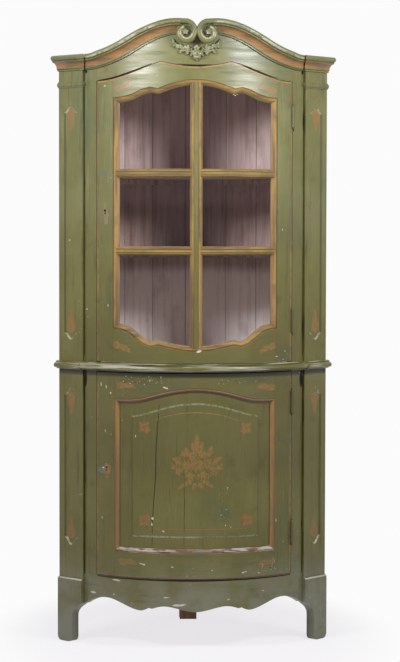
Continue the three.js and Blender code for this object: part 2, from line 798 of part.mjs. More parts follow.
function buildFront() {
  const end = jointX - fit;
  const recess = (height) => turned(hingeRecess(height, 1), pivotTurn);
  const hung = (stile, heights) => cut(stile, ...heights.map(recess));
  const mortised = (stile, height) => cut(stile, turned(block(
    -lockFromEdge - doorGap - boltTravel - boltEase, -lockFromEdge + lap,
    boltMiddle - boltThick / 2 - boltEase, boltMiddle + boltThick / 2 + boltEase,
    height - boltHalfHeight - boltEase, height + boltHalfHeight + boltEase,
  ), lockTurn));

  const lower = bowedBoard(jambHalf, end, level(apronTop + fit), level(waistBottom - fit));
  add(bow, 'lower_stile_left', mortised(mirrored(lower), lockHeights.lower), 'green');
  add(bow, 'lower_stile_right', hung(lower, hingeHeights.lower), 'green');
  const upper = bowedBoard(jambHalf, end, level(waistTop + fit), level(caseTop));
  add(bow, 'upper_stile_left', mortised(mirrored(upper), lockHeights.upper), 'green');
  add(bow, 'upper_stile_right', hung(upper, hingeHeights.upper), 'green');

  const apronKinks = bothSides(apronShares, jointX);
  const apronLevel = level(apronTop);
  const apron = bowedBoard(-end, end, apronEdge, apronLevel, apronKinks, apronLevel, apronStep);
  add(bow, 'apron_rail', apron, 'green');

  const friezeEnd = jambHalf - fit;
  const friezeKinks = [...bothSides(crestShares, doorHalf), ...bothSides(neckShares, jointX)];
  const friezeBottom = (across) => crest(across) + doorGap;
  const friezeTop = (across) => neckTop(across) - friezeDrop;
  const frieze = bowedBoard(-friezeEnd, friezeEnd, friezeBottom, friezeTop, friezeKinks);
  add(bow, 'frieze_board', frieze, 'green');
}

// Rails of a framed door, with a moulding worked along the edge that faces the opening
function railSection(outer, outerBack, edge, side, moulding) {
  const worked = mouldingShares.map(([across, deep]) => {
    const offset = across * moulding.width;
    return [deep * moulding.depth, offset, (x) => edge(x) + side * offset * steepness(edge, x)];
  });
  return [
    [bowedThick, 0, outerBack], [0, 0, outer], [0, 0, (x) => edge(x) - side * lap], ...worked,
    [moulding.depth, 0, edge], [bowedThick, 0, edge],
  ];
}

function railPlaces(half, moulding, kinks) {
  const end = half - fit;
  const mitre = moulding.width + bowStep / 4;
  return stations(-end, end, [...kinks, mitre - end, end - mitre]);
}

function rail(outer, outerBack, edge, side, moulding, half, kinks) {
  return bowed(railPlaces(half, moulding, kinks), railSection(outer, outerBack, edge, side, moulding));
}

// The moulding down a stile's inner edge, mitred to those of the rails
function stileMoulding(half, bottom, top, moulding) {
  const rows = [[-lap, moulding.depth / 4], ...mouldingShares.map(([across, deep]) => (
    [across * moulding.width, deep * moulding.depth]
  )), [0, moulding.depth], [-lap, moulding.depth]];
  const ring = (corner, side) => rows.map(([offset, depth]) => (
    onBow(half - offset, depth, corner + side * (Math.max(offset, 0) + fit))
  ));
  return loft([ring(bottom, 1), ring(top, -1)]);
}

// Right-hand stile
function stile(half, bottom, top, topBack, moulding, openBottom, openTop) {
  const board = bowedBoard(half, doorHalf, bottom, top, [], topBack);
  return join(board, stileMoulding(half, openBottom, openTop, moulding));
}

function lockCuts(height) {
  const pocket = block(
    -lockHalf - fit, lockHalf + fit, lockFront - fit, bowedThick + overrun,
    height - lockHalfHeight - fit, height + lockHalfHeight + fit,
  );
  const slot = block(
    -lockFromEdge - overrun, -lockHalf,
    boltMiddle - boltThick / 2 - boltEase, boltMiddle + boltThick / 2 + boltEase,
    height - boltHalfHeight - boltEase, height + boltHalfHeight + boltEase,
  );
  return [pocket, slot, keyhole(height, -overrun, lockFront)].map((cutter) => turned(cutter, lockTurn));
}

function keyhole(height, front, back) {
  const eye = indexed(new THREE.CylinderGeometry(keyRadius, keyRadius, back - front, keySides));
  const slot = block(
    keyAcross - keySlotHalf, keyAcross + keySlotHalf, front, back, height - keySlotDrop, height,
  );
  return join(shifted(eye, keyAcross, (front + back) / 2, height), slot);
}

function hangingStile(geometry, heights) {
  return cut(geometry, ...heights.map((height) => turned(hingeRecess(height, -1), pivotTurn)));
}

// Glazing bars: a flat between two mouldings, with a tongue behind between the panes
function barSection(width, moulding, depth) {
  const flat = width / 2 - moulding;
  const worked = mouldingShares.map(([across, deep]) => [flat + across * moulding, deep * depth]);
  return bothWays([...worked, [tongueHalf, depth], [tongueHalf, bowedThick]]);
}

function bothWays(right) {
  return [...right, ...right.map(([across, deep]) => [-across, deep]).reverse()];
}

// What a moulding takes out of a bar that is scribed over it: rows of offset and depth
function scribeRows({ width, depth }) {
  const crown = crownShare * width;
  const worked = mouldingShares.filter(([across]) => across > crownShare).map(([across, deep]) => (
    [across * width + fit, deep < 1 ? deep * depth - fit : depth + fit]
  ));
  return [[crown, -overrun], [crown, -fit], ...worked];
}

function railSeat(edge, side, moulding, half, kinks) {
  const rows = [[-overrun, -overrun], ...scribeRows(moulding), [-overrun, moulding.depth + fit]];
  return bowed(railPlaces(half, moulding, kinks), rows.map(([offset, depth]) => (
    [depth, 0, (x) => edge(x) + side * offset * steepness(edge, x)]
  )));
}

function stileSeat(half, bottom, top, moulding) {
  const rows = [[-overrun, -overrun], ...scribeRows(moulding), [-overrun, moulding.depth + fit]];
  return loft([bottom, top].map((height) => (
    rows.map(([offset, depth]) => onBow(half - offset, depth, height))
  )));
}

// What the upright takes out of a crossbar, as far back as the halving
function crossingSection(width, moulding, depth) {
  const flat = width / 2 - moulding;
  const worked = scribeRows({ width: moulding, depth }).map(([offset, deep]) => [flat + offset, deep]);
  return bothWays([...worked, [tongueHalf + fit, depth + fit], [tongueHalf + fit, halvingDepth + fit]]);
}

function buildUpperDoor() {
  const moulding = upperMoulding;
  const crestBack = (across) => crest(across) - crestBevel;
  const right = stile(
    glassHalf, level(upperDoorBottom), crest, crestBack, moulding, glassCornerBottom, glassCornerTop,
  );
  const left = cut(mirrored(right), ...lockCuts(lockHeights.upper));
  add(bow, 'upper_door_stile_left', left, 'green');
  add(bow, 'upper_door_stile_right', hangingStile(right, hingeHeights.upper), 'green');

  const topKinks = [...bothSides(crestShares, doorHalf), ...bothSides(glassTopShares, glassHalf)];
  const topRail = rail(crest, crestBack, glassTop, -1, moulding, glassHalf, topKinks);
  add(bow, 'upper_door_top_rail', topRail, 'green');
  const bottomKinks = bothSides(glassBottomShares, glassHalf);
  const sill = level(upperDoorBottom);
  const bottomRail = rail(sill, sill, glassBottom, 1, moulding, glassHalf, bottomKinks);
  add(bow, 'upper_door_bottom_rail', bottomRail, 'green');

  const barHeights = upperShelfHeights.map((bottom) => bottom + shelfThick / 2);
  const { depth, width } = moulding;
  const scribe = crownShare * width;
  const ends = [glassBottom(0) + scribe, glassTop(0) - scribe];
  const standing = (section) => loft(ends.map((height) => (
    section.map(([across, deep]) => onBow(across, deep, height))
  )));
  const notches = barHeights.map((height) => block(
    -tongueHalf - overrun, tongueHalf + overrun, halvingDepth - bowRadius, bowedThick + overrun - bowRadius,
    height - tongueHalf - fit, height + tongueHalf + fit,
  ));
  const seats = [
    railSeat(glassTop, -1, moulding, glassHalf, topKinks),
    railSeat(glassBottom, 1, moulding, glassHalf, bottomKinks),
  ];
  const uprightBar = cut(standing(barSection(uprightWidth, uprightMoulding, depth)), ...seats, ...notches);
  add(bow, 'glazing_bar_upright', uprightBar, 'green');

  const end = glassHalf - scribe;
  const section = barSection(crossbarWidth, crossbarMoulding, depth);
  const crossing = standing(crossingSection(uprightWidth, uprightMoulding, depth));
  const seat = stileSeat(glassHalf, glassCornerBottom, glassCornerTop, moulding);
  ['low', 'high'].forEach((which, k) => {
    const rows = section.map(([up, deep]) => [deep, 0, level(barHeights[k] + up)]);
    const bar = bowed(stations(-end, end), rows);
    add(bow, `glazing_bar_${which}`, cut(bar, crossing, seat, mirrored(seat)), 'green');
  });

  const tongue = tongueHalf + glassEase;
  const rows = {
    bottom: [(x) => glassBottom(x) + glassEase, level(barHeights[0] - tongue), bottomKinks],
    middle: [level(barHeights[0] + tongue), level(barHeights[1] - tongue), []],
    top: [level(barHeights[1] + tongue), (x) => glassTop(x) - glassEase, topKinks],
  };
  const front = depth + fit;
  Object.entries(rows).forEach(([row, [low, high, kinks]]) => {
    const pane = bowed(stations(tongue, glassHalf - glassEase, kinks), [
      [front, 0, high], [front, 0, low], [front + glassThick, 0, low], [front + glassThick, 0, high],
    ]);
    addPair([bow, bow], `pane_${row}`, mirrored(pane), 'glass');
  });
}

// The raised and fielded panel: a flat lip in the frame, a sloping margin, a bevel and the raised field
function fieldedPanel() {
  const half = panelHalf - glassEase;
  const sight = lowerMoulding.width + panelLip;
  const lipDepth = lowerMoulding.depth + fit;
  const fieldInner = fieldHalf - fieldBevel;
  const kinks = [half - sight, fieldHalf, fieldInner].flatMap((place) => [place, -place]);
  const margin = (across) => {
    const beyond = Math.abs(across);
    if (beyond >= half - sight) {
      return lipDepth;
    }
    const share = Math.max(0, (beyond - fieldHalf) / (half - sight - fieldHalf));
    return marginDepth + share * (lipDepth - marginDepth);
  };
  const field = (across) => {
    const share = Math.min(Math.max((fieldHalf - Math.abs(across)) / fieldBevel, 0), 1);
    return margin(across) + share * (fieldDepth - margin(across));
  };
  const edge = (across) => Math.min(fieldTop(across), panelTop(across) - sight - fieldBevel);
  const places = stations(-half, half, [...kinks, ...bothSides(panelTopShares, panelHalf)]);
  return loft(places.map((across) => {
    const top = panelTop(across) - glassEase;
    const bottom = panelBottom + glassEase;
    return [
      [panelBack, top], [lipDepth, top], [lipDepth, top - sight], [margin(across), edge(across)],
      [field(across), edge(across) - fieldBevel], [field(across), fieldBottom + fieldBevel],
      [margin(across), fieldBottom], [lipDepth, bottom + sight], [lipDepth, bottom], [panelBack, bottom],
    ].map(([depth, height]) => onBow(across, depth, height));
  }));
}

function buildLowerDoor() {
  const moulding = lowerMoulding;
  const [sill, lintel] = [level(lowerDoorBottom), level(lowerDoorTop)];
  const right = stile(panelHalf, sill, lintel, lintel, moulding, panelBottom, panelCornerTop);
  add(bow, 'lower_door_stile_left', cut(mirrored(right), ...lockCuts(lockHeights.lower)), 'green');
  add(bow, 'lower_door_stile_right', hangingStile(right, hingeHeights.lower), 'green');
  const kinks = bothSides(panelTopShares, panelHalf);
  const topRail = rail(lintel, lintel, panelTop, -1, moulding, panelHalf, kinks);
  add(bow, 'lower_door_top_rail', topRail, 'green');
  const bottomRail = rail(sill, sill, level(panelBottom), 1, moulding, panelHalf, []);
  add(bow, 'lower_door_bottom_rail', bottomRail, 'green');
  add(bow, 'lower_door_panel', fieldedPanel(), 'green');
}

// Cornice: a straight return over each pilaster and a raking length that ends in a volute
function buildCornice() {
  const profile = corniceShares.map(([out, down]) => [out * corniceProud, down * corniceHeight]);
  const straight = carried(
    profile.map(([out, down]) => [out + fit, corniceTop - down]),
    [[0, 0, 0, -1], [pilasterWidth, 0, 0, -1]],
  );
  addPair([leftSide, rightSide], 'cornice_return', straight, 'cornice');

  const places = stations(neckEnd, jointX - fit, bothSides(neckShares, jointX));
  const rings = places.map((place, k) => profile.map(([out, down]) => {
    const slope = (neckTop(place + lap) - neckTop(place - lap)) / (lap + lap);
    const long = Math.hypot(1, slope);
    const square = k === places.length - 1;
    const across = square ? place : place + (slope * down) / long;
    const height = neckTop(place) - (square ? down : down / long);
    const spot = onBow(across, -out - fit, height);
    if (square) {
      const foot = onBow(across, -fit, height);
      return new THREE.Vector3(foot.x + out * diagonal, foot.y - out * diagonal, height);
    }
    return spot;
  }));
  const neck = join(loft(rings), volute());
  addPair([bow, bow], 'swan_neck', mirrored(neck), 'cornice');
}

// The roll of the cornice runs on into a spiral over a disc, round a domed eye
function rollPath() {
  const winding = serpentine(voluteShares, 1, voluteStart);
  const level = neckTop(neckEnd) - rollRadius;
  const bridge = [(neckEnd + voluteAcross) / 2, (level + voluteHeight + voluteStart) / 2 + lap];
  const path = [[neckEnd + rollLead, level], [neckEnd, level], bridge];
  for (let i = 0; i <= rollSteps; i += 1) {
    const share = i / rollSteps;
    const angle = Math.PI / 2 + share * Math.PI * 2;
    const radius = winding(share);
    path.push([voluteAcross + radius * Math.cos(angle), voluteHeight + radius * Math.sin(angle)]);
  }
  return path;
}

function volute() {
  const rollOut = corniceProud - rollRadius;
  const path = rollPath();
  const rings = path.map(([across, height], k) => {
    const [before, after] = [path[Math.max(k - 1, 0)], path[Math.min(k + 1, path.length - 1)]];
    const along = new THREE.Vector2(after[0] - before[0], after[1] - before[1]).normalize();
    const radius = rollRadius + (rollEndRadius - rollRadius) * (k / (path.length - 1));
    const ring = [];
    for (let i = 0; i < rollSides; i += 1) {
      const angle = (2 * Math.PI * i) / rollSides;
      const side = radius * Math.cos(angle);
      const depth = -rollOut - fit - radius * Math.sin(angle);
      ring.push(onBow(across - along.y * side, depth, height + along.x * side));
    }
    return ring;
  });
  const top = voluteDiscDepth + eyeDepth;
  const discProfile = points([
    [0, fit], [voluteDisc, fit], [voluteDisc, voluteDiscDepth - lap], [voluteDisc - lap, voluteDiscDepth],
    [eyeRadius, voluteDiscDepth],
    [eyeRadius * eyeShares.shoulder, voluteDiscDepth + eyeDepth * eyeShares.rise], [0, top],
  ]);
  const disc = outward(indexed(new THREE.LatheGeometry(discProfile, discSides).rotateX(Math.PI)));
  const seat = onBow(voluteAcross, 0, voluteHeight);
  const turn = Math.asin(voluteAcross / bowRadius);
  return join(loft(rings), disc.rotateZ(turn).translate(seat.x, seat.y, seat.z));
}

// Festoon: a swag in bunches, and a flower that hangs from its middle
function buildFestoon() {
  const steps = swagBunches * bunchSteps;
  const hang = (share) => swagTop - swagSag * (1 - share * share);
  const swag = [];
  for (let i = 0; i <= steps; i += 1) {
    const share = (2 * i) / steps - 1;
    const bunch = 1 - bunchShare * Math.abs(Math.cos((share * swagBunches * Math.PI) / 2));
    const full = bunch * (1 - share * share / 2);
    const ring = [];
    for (let k = 0; k <= swagSides; k += 1) {
      const angle = (Math.PI * k) / swagSides;
      const depth = fit + swagDepth * full * Math.sin(angle);
      ring.push(onBow(share * swagHalf, -depth, hang(share) + swagThick * full * Math.cos(angle)));
    }
    swag.push(ring);
  }

  const around = petals * petalSteps;
  const flower = flowerShares.map(([out, up]) => {
    const ring = [];
    for (let k = 0; k < around; k += 1) {
      const angle = (Math.PI * 2 * k) / around;
      const reach = flowerRadius * out * (1 - petalShare + petalShare * Math.cos(petals * angle));
      ring.push(onBow(
        reach * Math.sin(angle), -fit - flowerDepth * up, pendantHeight + reach * Math.cos(angle),
      ));
    }
    return ring;
  });

  const stalk = block(
    -stalkHalf, stalkHalf, -bowRadius - swagDepth / 2, -bowRadius - fit - fit,
    pendantHeight, swagTop - swagSag,
  );
  add(bow, 'festoon', join(loft(swag), loft(flower), stalk), 'cornice');
}

// Lift-off hinges: the frame leaf carries the pin, the door leaf turns on it
function hingeLeaf(side, knuckleBottom, knuckleTop) {
  const half = hingeLength / 2;
  const [near, far] = [side * leafOffset, side * (leafOffset + leafThick)].sort((a, b) => a - b);
  const clear = knuckleRadius + fit - knuckleProud;
  const plate = block(near, far, clear, leafDepth, -half, half);
  const strap = block(near, far, -knuckleProud, clear + lap, knuckleBottom, knuckleTop);
  const knuckle = upright(knuckleRadius, knuckleBottom, knuckleTop, knuckleSides);
  return join(plate, strap, shifted(knuckle, 0, -knuckleProud, 0));
}

function finial(height, up) {
  const [bottom, top] = up ? [height - lap, height + finialLength] : [height - finialLength, height + lap];
  const [foot, end] = [knuckleRadius * finialShares.foot, knuckleRadius * finialShares.tip];
  const tip = new THREE.CylinderGeometry(up ? end : foot, up ? foot : end, top - bottom, finialSides);
  return indexed(tip.rotateX(Math.PI / 2).translate(0, -knuckleProud, (bottom + top) / 2));
}

function buildHinges() {
  const half = hingeLength / 2;
  const pin = shifted(upright(pinRadius, -lap, half - pinShort, pinSides), 0, -knuckleProud, 0);
  const frameLeaf = join(hingeLeaf(1, -half, -fit / 2), pin, finial(-half, false));
  const bore = upright(pinRadius + pinEase, -overrun, half - pinShort + fit, pinSides);
  const socket = shifted(bore, 0, -knuckleProud, 0);
  const doorLeaf = cut(join(hingeLeaf(-1, fit / 2, half), finial(half, true)), socket);
  Object.entries(hingeHeights).forEach(([stage, heights]) => {
    heights.forEach((height, k) => {
      const place = new THREE.Group();
      place.rotation.z = pivotTurn;
      bow.add(place);
      const which = ['low', 'high'][k];
      [['frame', frameLeaf], ['door', doorLeaf]].forEach(([holder, leaf]) => {
        const name = `${stage}_hinge_${which}_${holder}_leaf`;
        add(place, name, leaf, 'iron').position.set(0, -bowRadius, height);
      });
    });
  });
}

// Locks: a case let into the back of the door's stile, and a bolt that slides into the jamb
function buildLocks() {
  const boltHead = fit - lockFromEdge;
  const boltTail = boltHead + lockFromEdge; // bolt's end at the middle of the case
  const boltFront = boltMiddle - boltThick / 2;
  const boltBack = boltMiddle + boltThick / 2;
  const body = block(-lockHalf, lockHalf, lockFront, lockBack, -lockHalfHeight, lockHalfHeight);
  const channel = block(
    -lockHalf - overrun, boltTail + boltEase, boltFront - boltEase, boltBack + boltEase,
    -boltHalfHeight - boltEase, boltHalfHeight + boltEase,
  );
  const lockCase = cut(body, channel, keyhole(0, lockFront - overrun, boltMiddle));
  const bolt = block(boltHead, boltTail, boltFront, boltBack, -boltHalfHeight, boltHalfHeight);
  Object.entries(lockHeights).forEach(([stage, height]) => {
    const place = new THREE.Group();
    place.rotation.z = lockTurn;
    bow.add(place);
    add(place, `${stage}_lock_case`, lockCase, 'iron').position.set(0, -bowRadius, height);
    add(place, `${stage}_lock_bolt`, bolt, 'iron').position.set(0, -bowRadius, height);
  });
}

buildPilasters();
buildFeet();
buildWalls();
buildCorner();
buildShelves();
buildWaist();
buildFront();
buildUpperDoor();
buildLowerDoor();
buildCornice();
buildFestoon();
buildHinges();
buildLocks();

// The origin lies at floor level in the middle of the whole
cupboard.updateMatrixWorld(true);
const bounds = new THREE.Box3().setFromObject(cupboard);
const middle = bounds.getCenter(new THREE.Vector3());
cupboard.position.set(-middle.x, -middle.y, -bounds.min.z);

export default cupboard;
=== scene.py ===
"""Old paint, gilding, carving, light and camera for a bow-fronted corner cupboard."""

import json
import math
import random
from functools import partialmethod

import bmesh
import bpy
from bpy.props import FloatProperty, FloatVectorProperty, PointerProperty
from mathutils import Matrix, Vector
from mathutils.bvhtree import BVHTree

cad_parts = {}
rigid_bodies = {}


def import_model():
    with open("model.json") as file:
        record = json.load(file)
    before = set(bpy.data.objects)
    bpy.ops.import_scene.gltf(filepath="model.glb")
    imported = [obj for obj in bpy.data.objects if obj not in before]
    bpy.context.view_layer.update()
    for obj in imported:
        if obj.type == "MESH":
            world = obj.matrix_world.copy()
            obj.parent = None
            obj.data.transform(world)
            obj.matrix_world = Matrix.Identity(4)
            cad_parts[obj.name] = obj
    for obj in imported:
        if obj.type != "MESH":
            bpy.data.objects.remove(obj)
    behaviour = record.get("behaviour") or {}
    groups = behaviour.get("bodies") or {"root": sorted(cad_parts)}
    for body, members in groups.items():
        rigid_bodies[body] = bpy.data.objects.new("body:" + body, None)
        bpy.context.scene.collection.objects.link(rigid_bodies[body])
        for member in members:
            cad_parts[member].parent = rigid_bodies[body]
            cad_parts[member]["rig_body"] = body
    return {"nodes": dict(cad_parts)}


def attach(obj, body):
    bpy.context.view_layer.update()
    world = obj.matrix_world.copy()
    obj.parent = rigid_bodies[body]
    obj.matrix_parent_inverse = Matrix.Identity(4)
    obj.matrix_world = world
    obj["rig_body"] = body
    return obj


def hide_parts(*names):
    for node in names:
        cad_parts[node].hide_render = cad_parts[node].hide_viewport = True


bl_info = {
    "name": "Painted Corner Cupboard",
    "version": (1, 0, 0),
    "blender": (4, 5, 0),
    "location": "3D View > Sidebar > Cupboard",
    "description": "Finishes a bow-fronted corner cupboard with old paint, gilding and carving",
    "category": "Object",
}

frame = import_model()
NODES = frame["nodes"]
BODY_OF = {name: node["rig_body"] for name, node in NODES.items()}
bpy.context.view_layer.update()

SIDES = ((-1, "left"), (1, "right"))
# The bowed front: its radius, and where its axis stands behind the origin
BOW_RADIUS = 0.54
BOW_CENTRE = 0.193886
# Middle of the pilasters' sunk panels, on their faces, and how deep the panels are sunk
PILASTER_MIDDLE = (0.45616, -0.12331)
PANEL_SUNK = 0.005
# Wall boards: where the first plank starts behind the pilasters' faces, and how wide each one is
PLANK_FRONT = 0.0263
PLANK = 0.15468
# The doors' edges; rows of a serpentine line are place, height, slope before and slope after, as shares
DOOR_HALF = 0.359
LOWER_DOOR = (0.267, 1.017)
UPPER_DOOR_FOOT = 1.055
CREST_ROWS = ((0, 0.71, 0, 0), (0.362, 1, 1.3, -2), (1, 0, 0, 0))
CREST_LOW = 2.08
CREST_RISE = 0.065
# The cornice: its joint over the pilasters, top, reach, height and the rise of the swan neck
JOINT_X = 0.40595
JOINT_GAP = 0.0014
CORNICE_TOP = 2.18
CORNICE_PROUD = 0.043
CORNICE_HEIGHT = 0.056
NECK_RISE = 0.117
# The neck's own steps: where it starts beside the volute, how far it stands off the frieze, and its trimmed end
NECK_START = 0.054
NECK_LIFT = 0.0003
NECK_STEPS = 64
NECK_TRIMMED = 14
NECK_ROWS = ((0, 0.74, 0, 1.2), (0.094, 0.966, 1.4, 1.4), (0.177, 1, 0, 0), (0.616, 0.427, -2.15, -2.15), (1, 0, 0, 0))
# The cornice's section: out and down, as shares of its reach and its height
CORNICE_ROWS = (
    (0.02, 0), (0.7, 0), (0.82, 0.015), (0.93, 0.06), (0.99, 0.12), (1, 0.18), (0.98, 0.24), (0.92, 0.295),
    (0.83, 0.33), (0.775, 0.34), (0.77, 0.36), (0.81, 0.375), (0.82, 0.405), (0.8, 0.43), (0.74, 0.44),
    (0.69, 0.455), (0.57, 0.485), (0.46, 0.53), (0.37, 0.6), (0.3, 0.68), (0.26, 0.76), (0.245, 0.835),
    (0.275, 0.85), (0.28, 0.875), (0.26, 0.9), (0.17, 0.905), (0.165, 1), (0.02, 1),
)
# Points of the section on its hollow, in the quirks between its members and on its roll
HOLLOW = (14, 21)
QUIRKS = (8, 9, 13, 25)
ROLL = (5, 6)
VOLUTE_ACROSS = 0.0385
VOLUTE_HEIGHT = 2.247
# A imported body's corners this near are merged, and its faces this flat to each other are joined
MERGED = 0.00002
FLAT = math.radians(0.6)
# Depths behind the front: a door moulding's edge at the glass, its inner half, its quirk, and the panel's bevel
GLASS_EDGE = (0.0085, 0.0125)
INNER_HALF = (0.0062, 0.0125)
QUIRK = (0.0008, 0.0026)
BEVEL = (0.004, 0.0085)
# How deep films and flakes sit in the wood
LINE_SINK = -0.0003
FLAKE_SINK = -0.0004
# Where hands, damp and knocks have rubbed the green: across, height, reach
RUBBED = (
    (-0.275, 0.968, 0.075), (-0.185, 0.985, 0.095), (-0.06, 1, 0.07), (0.225, 0.978, 0.08),
    (0.33, 0.335, 0.085), (0.345, 0.44, 0.055), (-0.338, 0.655, 0.04), (0.015, 0.352, 0.045),
    (0.33, 1.085, 0.05), (-0.325, 0.45, 0.035), (0.34, 0.76, 0.035), (-0.03, 0.275, 0.06),
    (0.3, 0.24, 0.06), (-0.34, 1.73, 0.045), (0.11, 0.5, 0.045),
)


def colour_property(name, description, value):
    return FloatVectorProperty(
        name=name, description=description, default=value, subtype="COLOR", min=0, max=1, size=3
    )


def length_property(name, description, value):
    return FloatProperty(name=name, description=description, default=value, subtype="DISTANCE", unit="LENGTH")


class PaintSettings(bpy.types.PropertyGroup):
    green: colour_property("Green", "Main coat of olive paint", (0.152, 0.141, 0.047))
    green_worn: colour_property("Rubbed green", "Coat where it is rubbed thin", (0.188, 0.178, 0.072))
    green_blue: colour_property("Older green", "Blue-green coat that shows through", (0.092, 0.115, 0.062))
    # Brown grime; the darker copies of the coat also mix towards it to put painted shade in recesses.
    grime: colour_property("Grime", "Brown dirt in corners and grain", (0.048, 0.038, 0.014))
    ground: colour_property("Brown ground", "Brown undercoat where the green is thin", (0.19, 0.115, 0.05))
    bared: colour_property("Bared coat", "Grey-green ground in the rubbed places", (0.108, 0.134, 0.088))
    dust: colour_property("Dust", "Grey bloom on the lowest boards", (0.27, 0.265, 0.21))
    primer: colour_property("Primer", "Pale ground that chips show", (0.68, 0.64, 0.53))
    gilt: colour_property("Ochre gilding", "Ochre lines of the glazing mouldings", (0.35, 0.205, 0.062))
    gilt_dull: colour_property("Dull gilding", "Gilding where it has darkened", (0.155, 0.092, 0.042))
    orange: colour_property("Orange", "Orange in the gilt lines", (0.34, 0.135, 0.04))
    rust: colour_property("Red ochre", "Red ochre round the lower panel", (0.185, 0.09, 0.055))
    wash: colour_property("Whitewash", "Pinkish whitewash of the inside", (0.8, 0.635, 0.615))
    board: colour_property("Inside board", "Red-brown wood under the whitewash", (0.185, 0.076, 0.054))
    pine: colour_property("Pine", "Bare pine of the back", (0.34, 0.19, 0.1))
    iron: colour_property("Iron", "Locks and bolts", (0.055, 0.048, 0.04))


class WearSettings(bpy.types.PropertyGroup):
    chips: FloatProperty(
        name="Chips", description="How strongly small chips show the primer", default=0.85,
        subtype="FACTOR", min=0, max=1,
    )
    film: length_property("Paint film", "How far painted lines stand off the wood", 0.0002)


class StageSettings(bpy.types.PropertyGroup):
    distance: length_property("Camera distance", "From the cupboard's axis to the lens", 8.0)
    lens: FloatProperty(name="Lens", description="Focal length in millimetres", default=116.27)
    lamp_across: length_property("Lamp across", "Soft lamps to each side of the axis", 1.65)
    lamp_ahead: length_property("Lamp ahead", "Soft lamps in front of the axis", 1.9)
    lamp_height: length_property("Lamp height", "Middle of the two soft lamps", 2.42)
    lamp_spread: FloatProperty(
        name="Lamp spread", description="How wide the soft lamps throw", default=math.radians(150), subtype="ANGLE"
    )
    lamp_power: FloatProperty(name="Lamp power", description="Watts of each soft lamp", default=40)
    fill: FloatProperty(name="Fill", description="Strength of the even light of the room", default=0.11)
    paper: colour_property("Paper", "Backdrop as the camera sees it", (0.965, 0.965, 0.965))


def settings():
    scene = bpy.context.scene
    return scene.cupboard_paint, scene.cupboard_wear, scene.cupboard_stage


# Shader recipes


class Nodes:
    """Builds a tree of shader nodes step by step."""

    def __init__(self, owner):
        owner.use_nodes = True
        self.tree = owner.node_tree
        self.tree.nodes.clear()

    def feed(self, socket, value):
        """Join an output to the socket, or set its constant."""
        if isinstance(value, bpy.types.NodeSocket):
            self.tree.links.new(value, socket)
        else:
            socket.default_value = (*value, 1.0) if socket.type == "RGBA" else value

    def node(self, kind, *inputs, **named):
        """A node with its settings and its inputs, in order or by name."""
        made = self.tree.nodes.new("ShaderNode" + kind)
        for key, value in named.items():
            if hasattr(made, key):
                setattr(made, key, value)
            else:
                self.feed(made.inputs[key.replace("_", " ")], value)
        for socket, value in zip(made.inputs, inputs):
            self.feed(socket, value)
        return made

    def math(self, operation, *values):
        return self.node("Math", *values, operation=operation).outputs[0]

    plus = partialmethod(math, "ADD")
    minus = partialmethod(math, "SUBTRACT")
    times = partialmethod(math, "MULTIPLY")
    least = partialmethod(math, "MINIMUM")
    most = partialmethod(math, "MAXIMUM")

    def seen(self):
        """1 for what the camera sees, also in mirrors and through glass."""
        rays = self.node("LightPath").outputs
        both = self.plus(rays["Is Glossy Ray"], rays["Is Transmission Ray"])
        return self.node("Math", rays["Is Camera Ray"], both, operation="ADD", use_clamp=True).outputs[0]


class Recipe(Nodes):
    """One material, mixed on Object coordinates."""

    def __init__(self, name):
        self.material = bpy.data.materials.new(name)
        super().__init__(self.material)
        self.place = self.node("TexCoord").outputs["Object"]

    def stretched(self, x, y, z):
        return self.node("VectorMath", self.place, (x, y, z), operation="MULTIPLY").outputs[0]

    def noise(self, scale, detail, place=None, rough=0.55):
        place = self.place if place is None else place
        return self.node("TexNoise", Vector=place, Scale=scale, Detail=detail, Roughness=rough).outputs["Fac"]

    def ramp(self, value, low, high, to_low=0.0, to_high=1.0):
        made = self.node("MapRange", value, low, high, to_low, to_high, interpolation_type="SMOOTHSTEP")
        return made.outputs[0]

    def patches(self, scale, detail, low, high, most=1.0, place=None, rough=0.55):
        """Patches of noise, from nothing up to the greatest share."""
        return self.ramp(self.noise(scale, detail, place, rough), low, high, 0, most)

    def mix(self, share, first, second):
        made = self.node("Mix", share, data_type="RGBA")
        self.feed(made.inputs[6], first)
        self.feed(made.inputs[7], second)
        return made.outputs[2]

    def axes(self):
        return self.node("SeparateXYZ", self.place).outputs[:]

    def finish(self, colour, roughness, height, depth=0.0006, strength=0.6, gloss=0.42, **constants):
        bump = self.node("Bump", Height=height, Distance=depth, Strength=strength).outputs[0]
        surface = self.node(
            "BsdfPrincipled", Base_Color=colour, Roughness=roughness, Specular_IOR_Level=gloss, Normal=bump, **constants
        )
        self.node("OutputMaterial", surface.outputs[0])
        return self.material


def scaled(colour, factor):
    return tuple(c * factor for c in colour)


def grain(recipe, along):
    """Coordinates drawn out along the board's grain."""
    return recipe.stretched(1, 1, 0.07) if along == "Z" else recipe.stretched(0.07, 0.07, 1)


def rubbed_places(recipe):
    """High round the places where the coat is rubbed through."""
    flat = recipe.stretched(1, 0, 1)
    share = None
    for across, height, reach in RUBBED:
        away = recipe.node("VectorMath", flat, (across, 0, height), operation="DISTANCE").outputs["Value"]
        near = recipe.ramp(away, 0.25 * reach, reach, 1, 0)
        share = near if share is None else recipe.most(share, near)
    return share


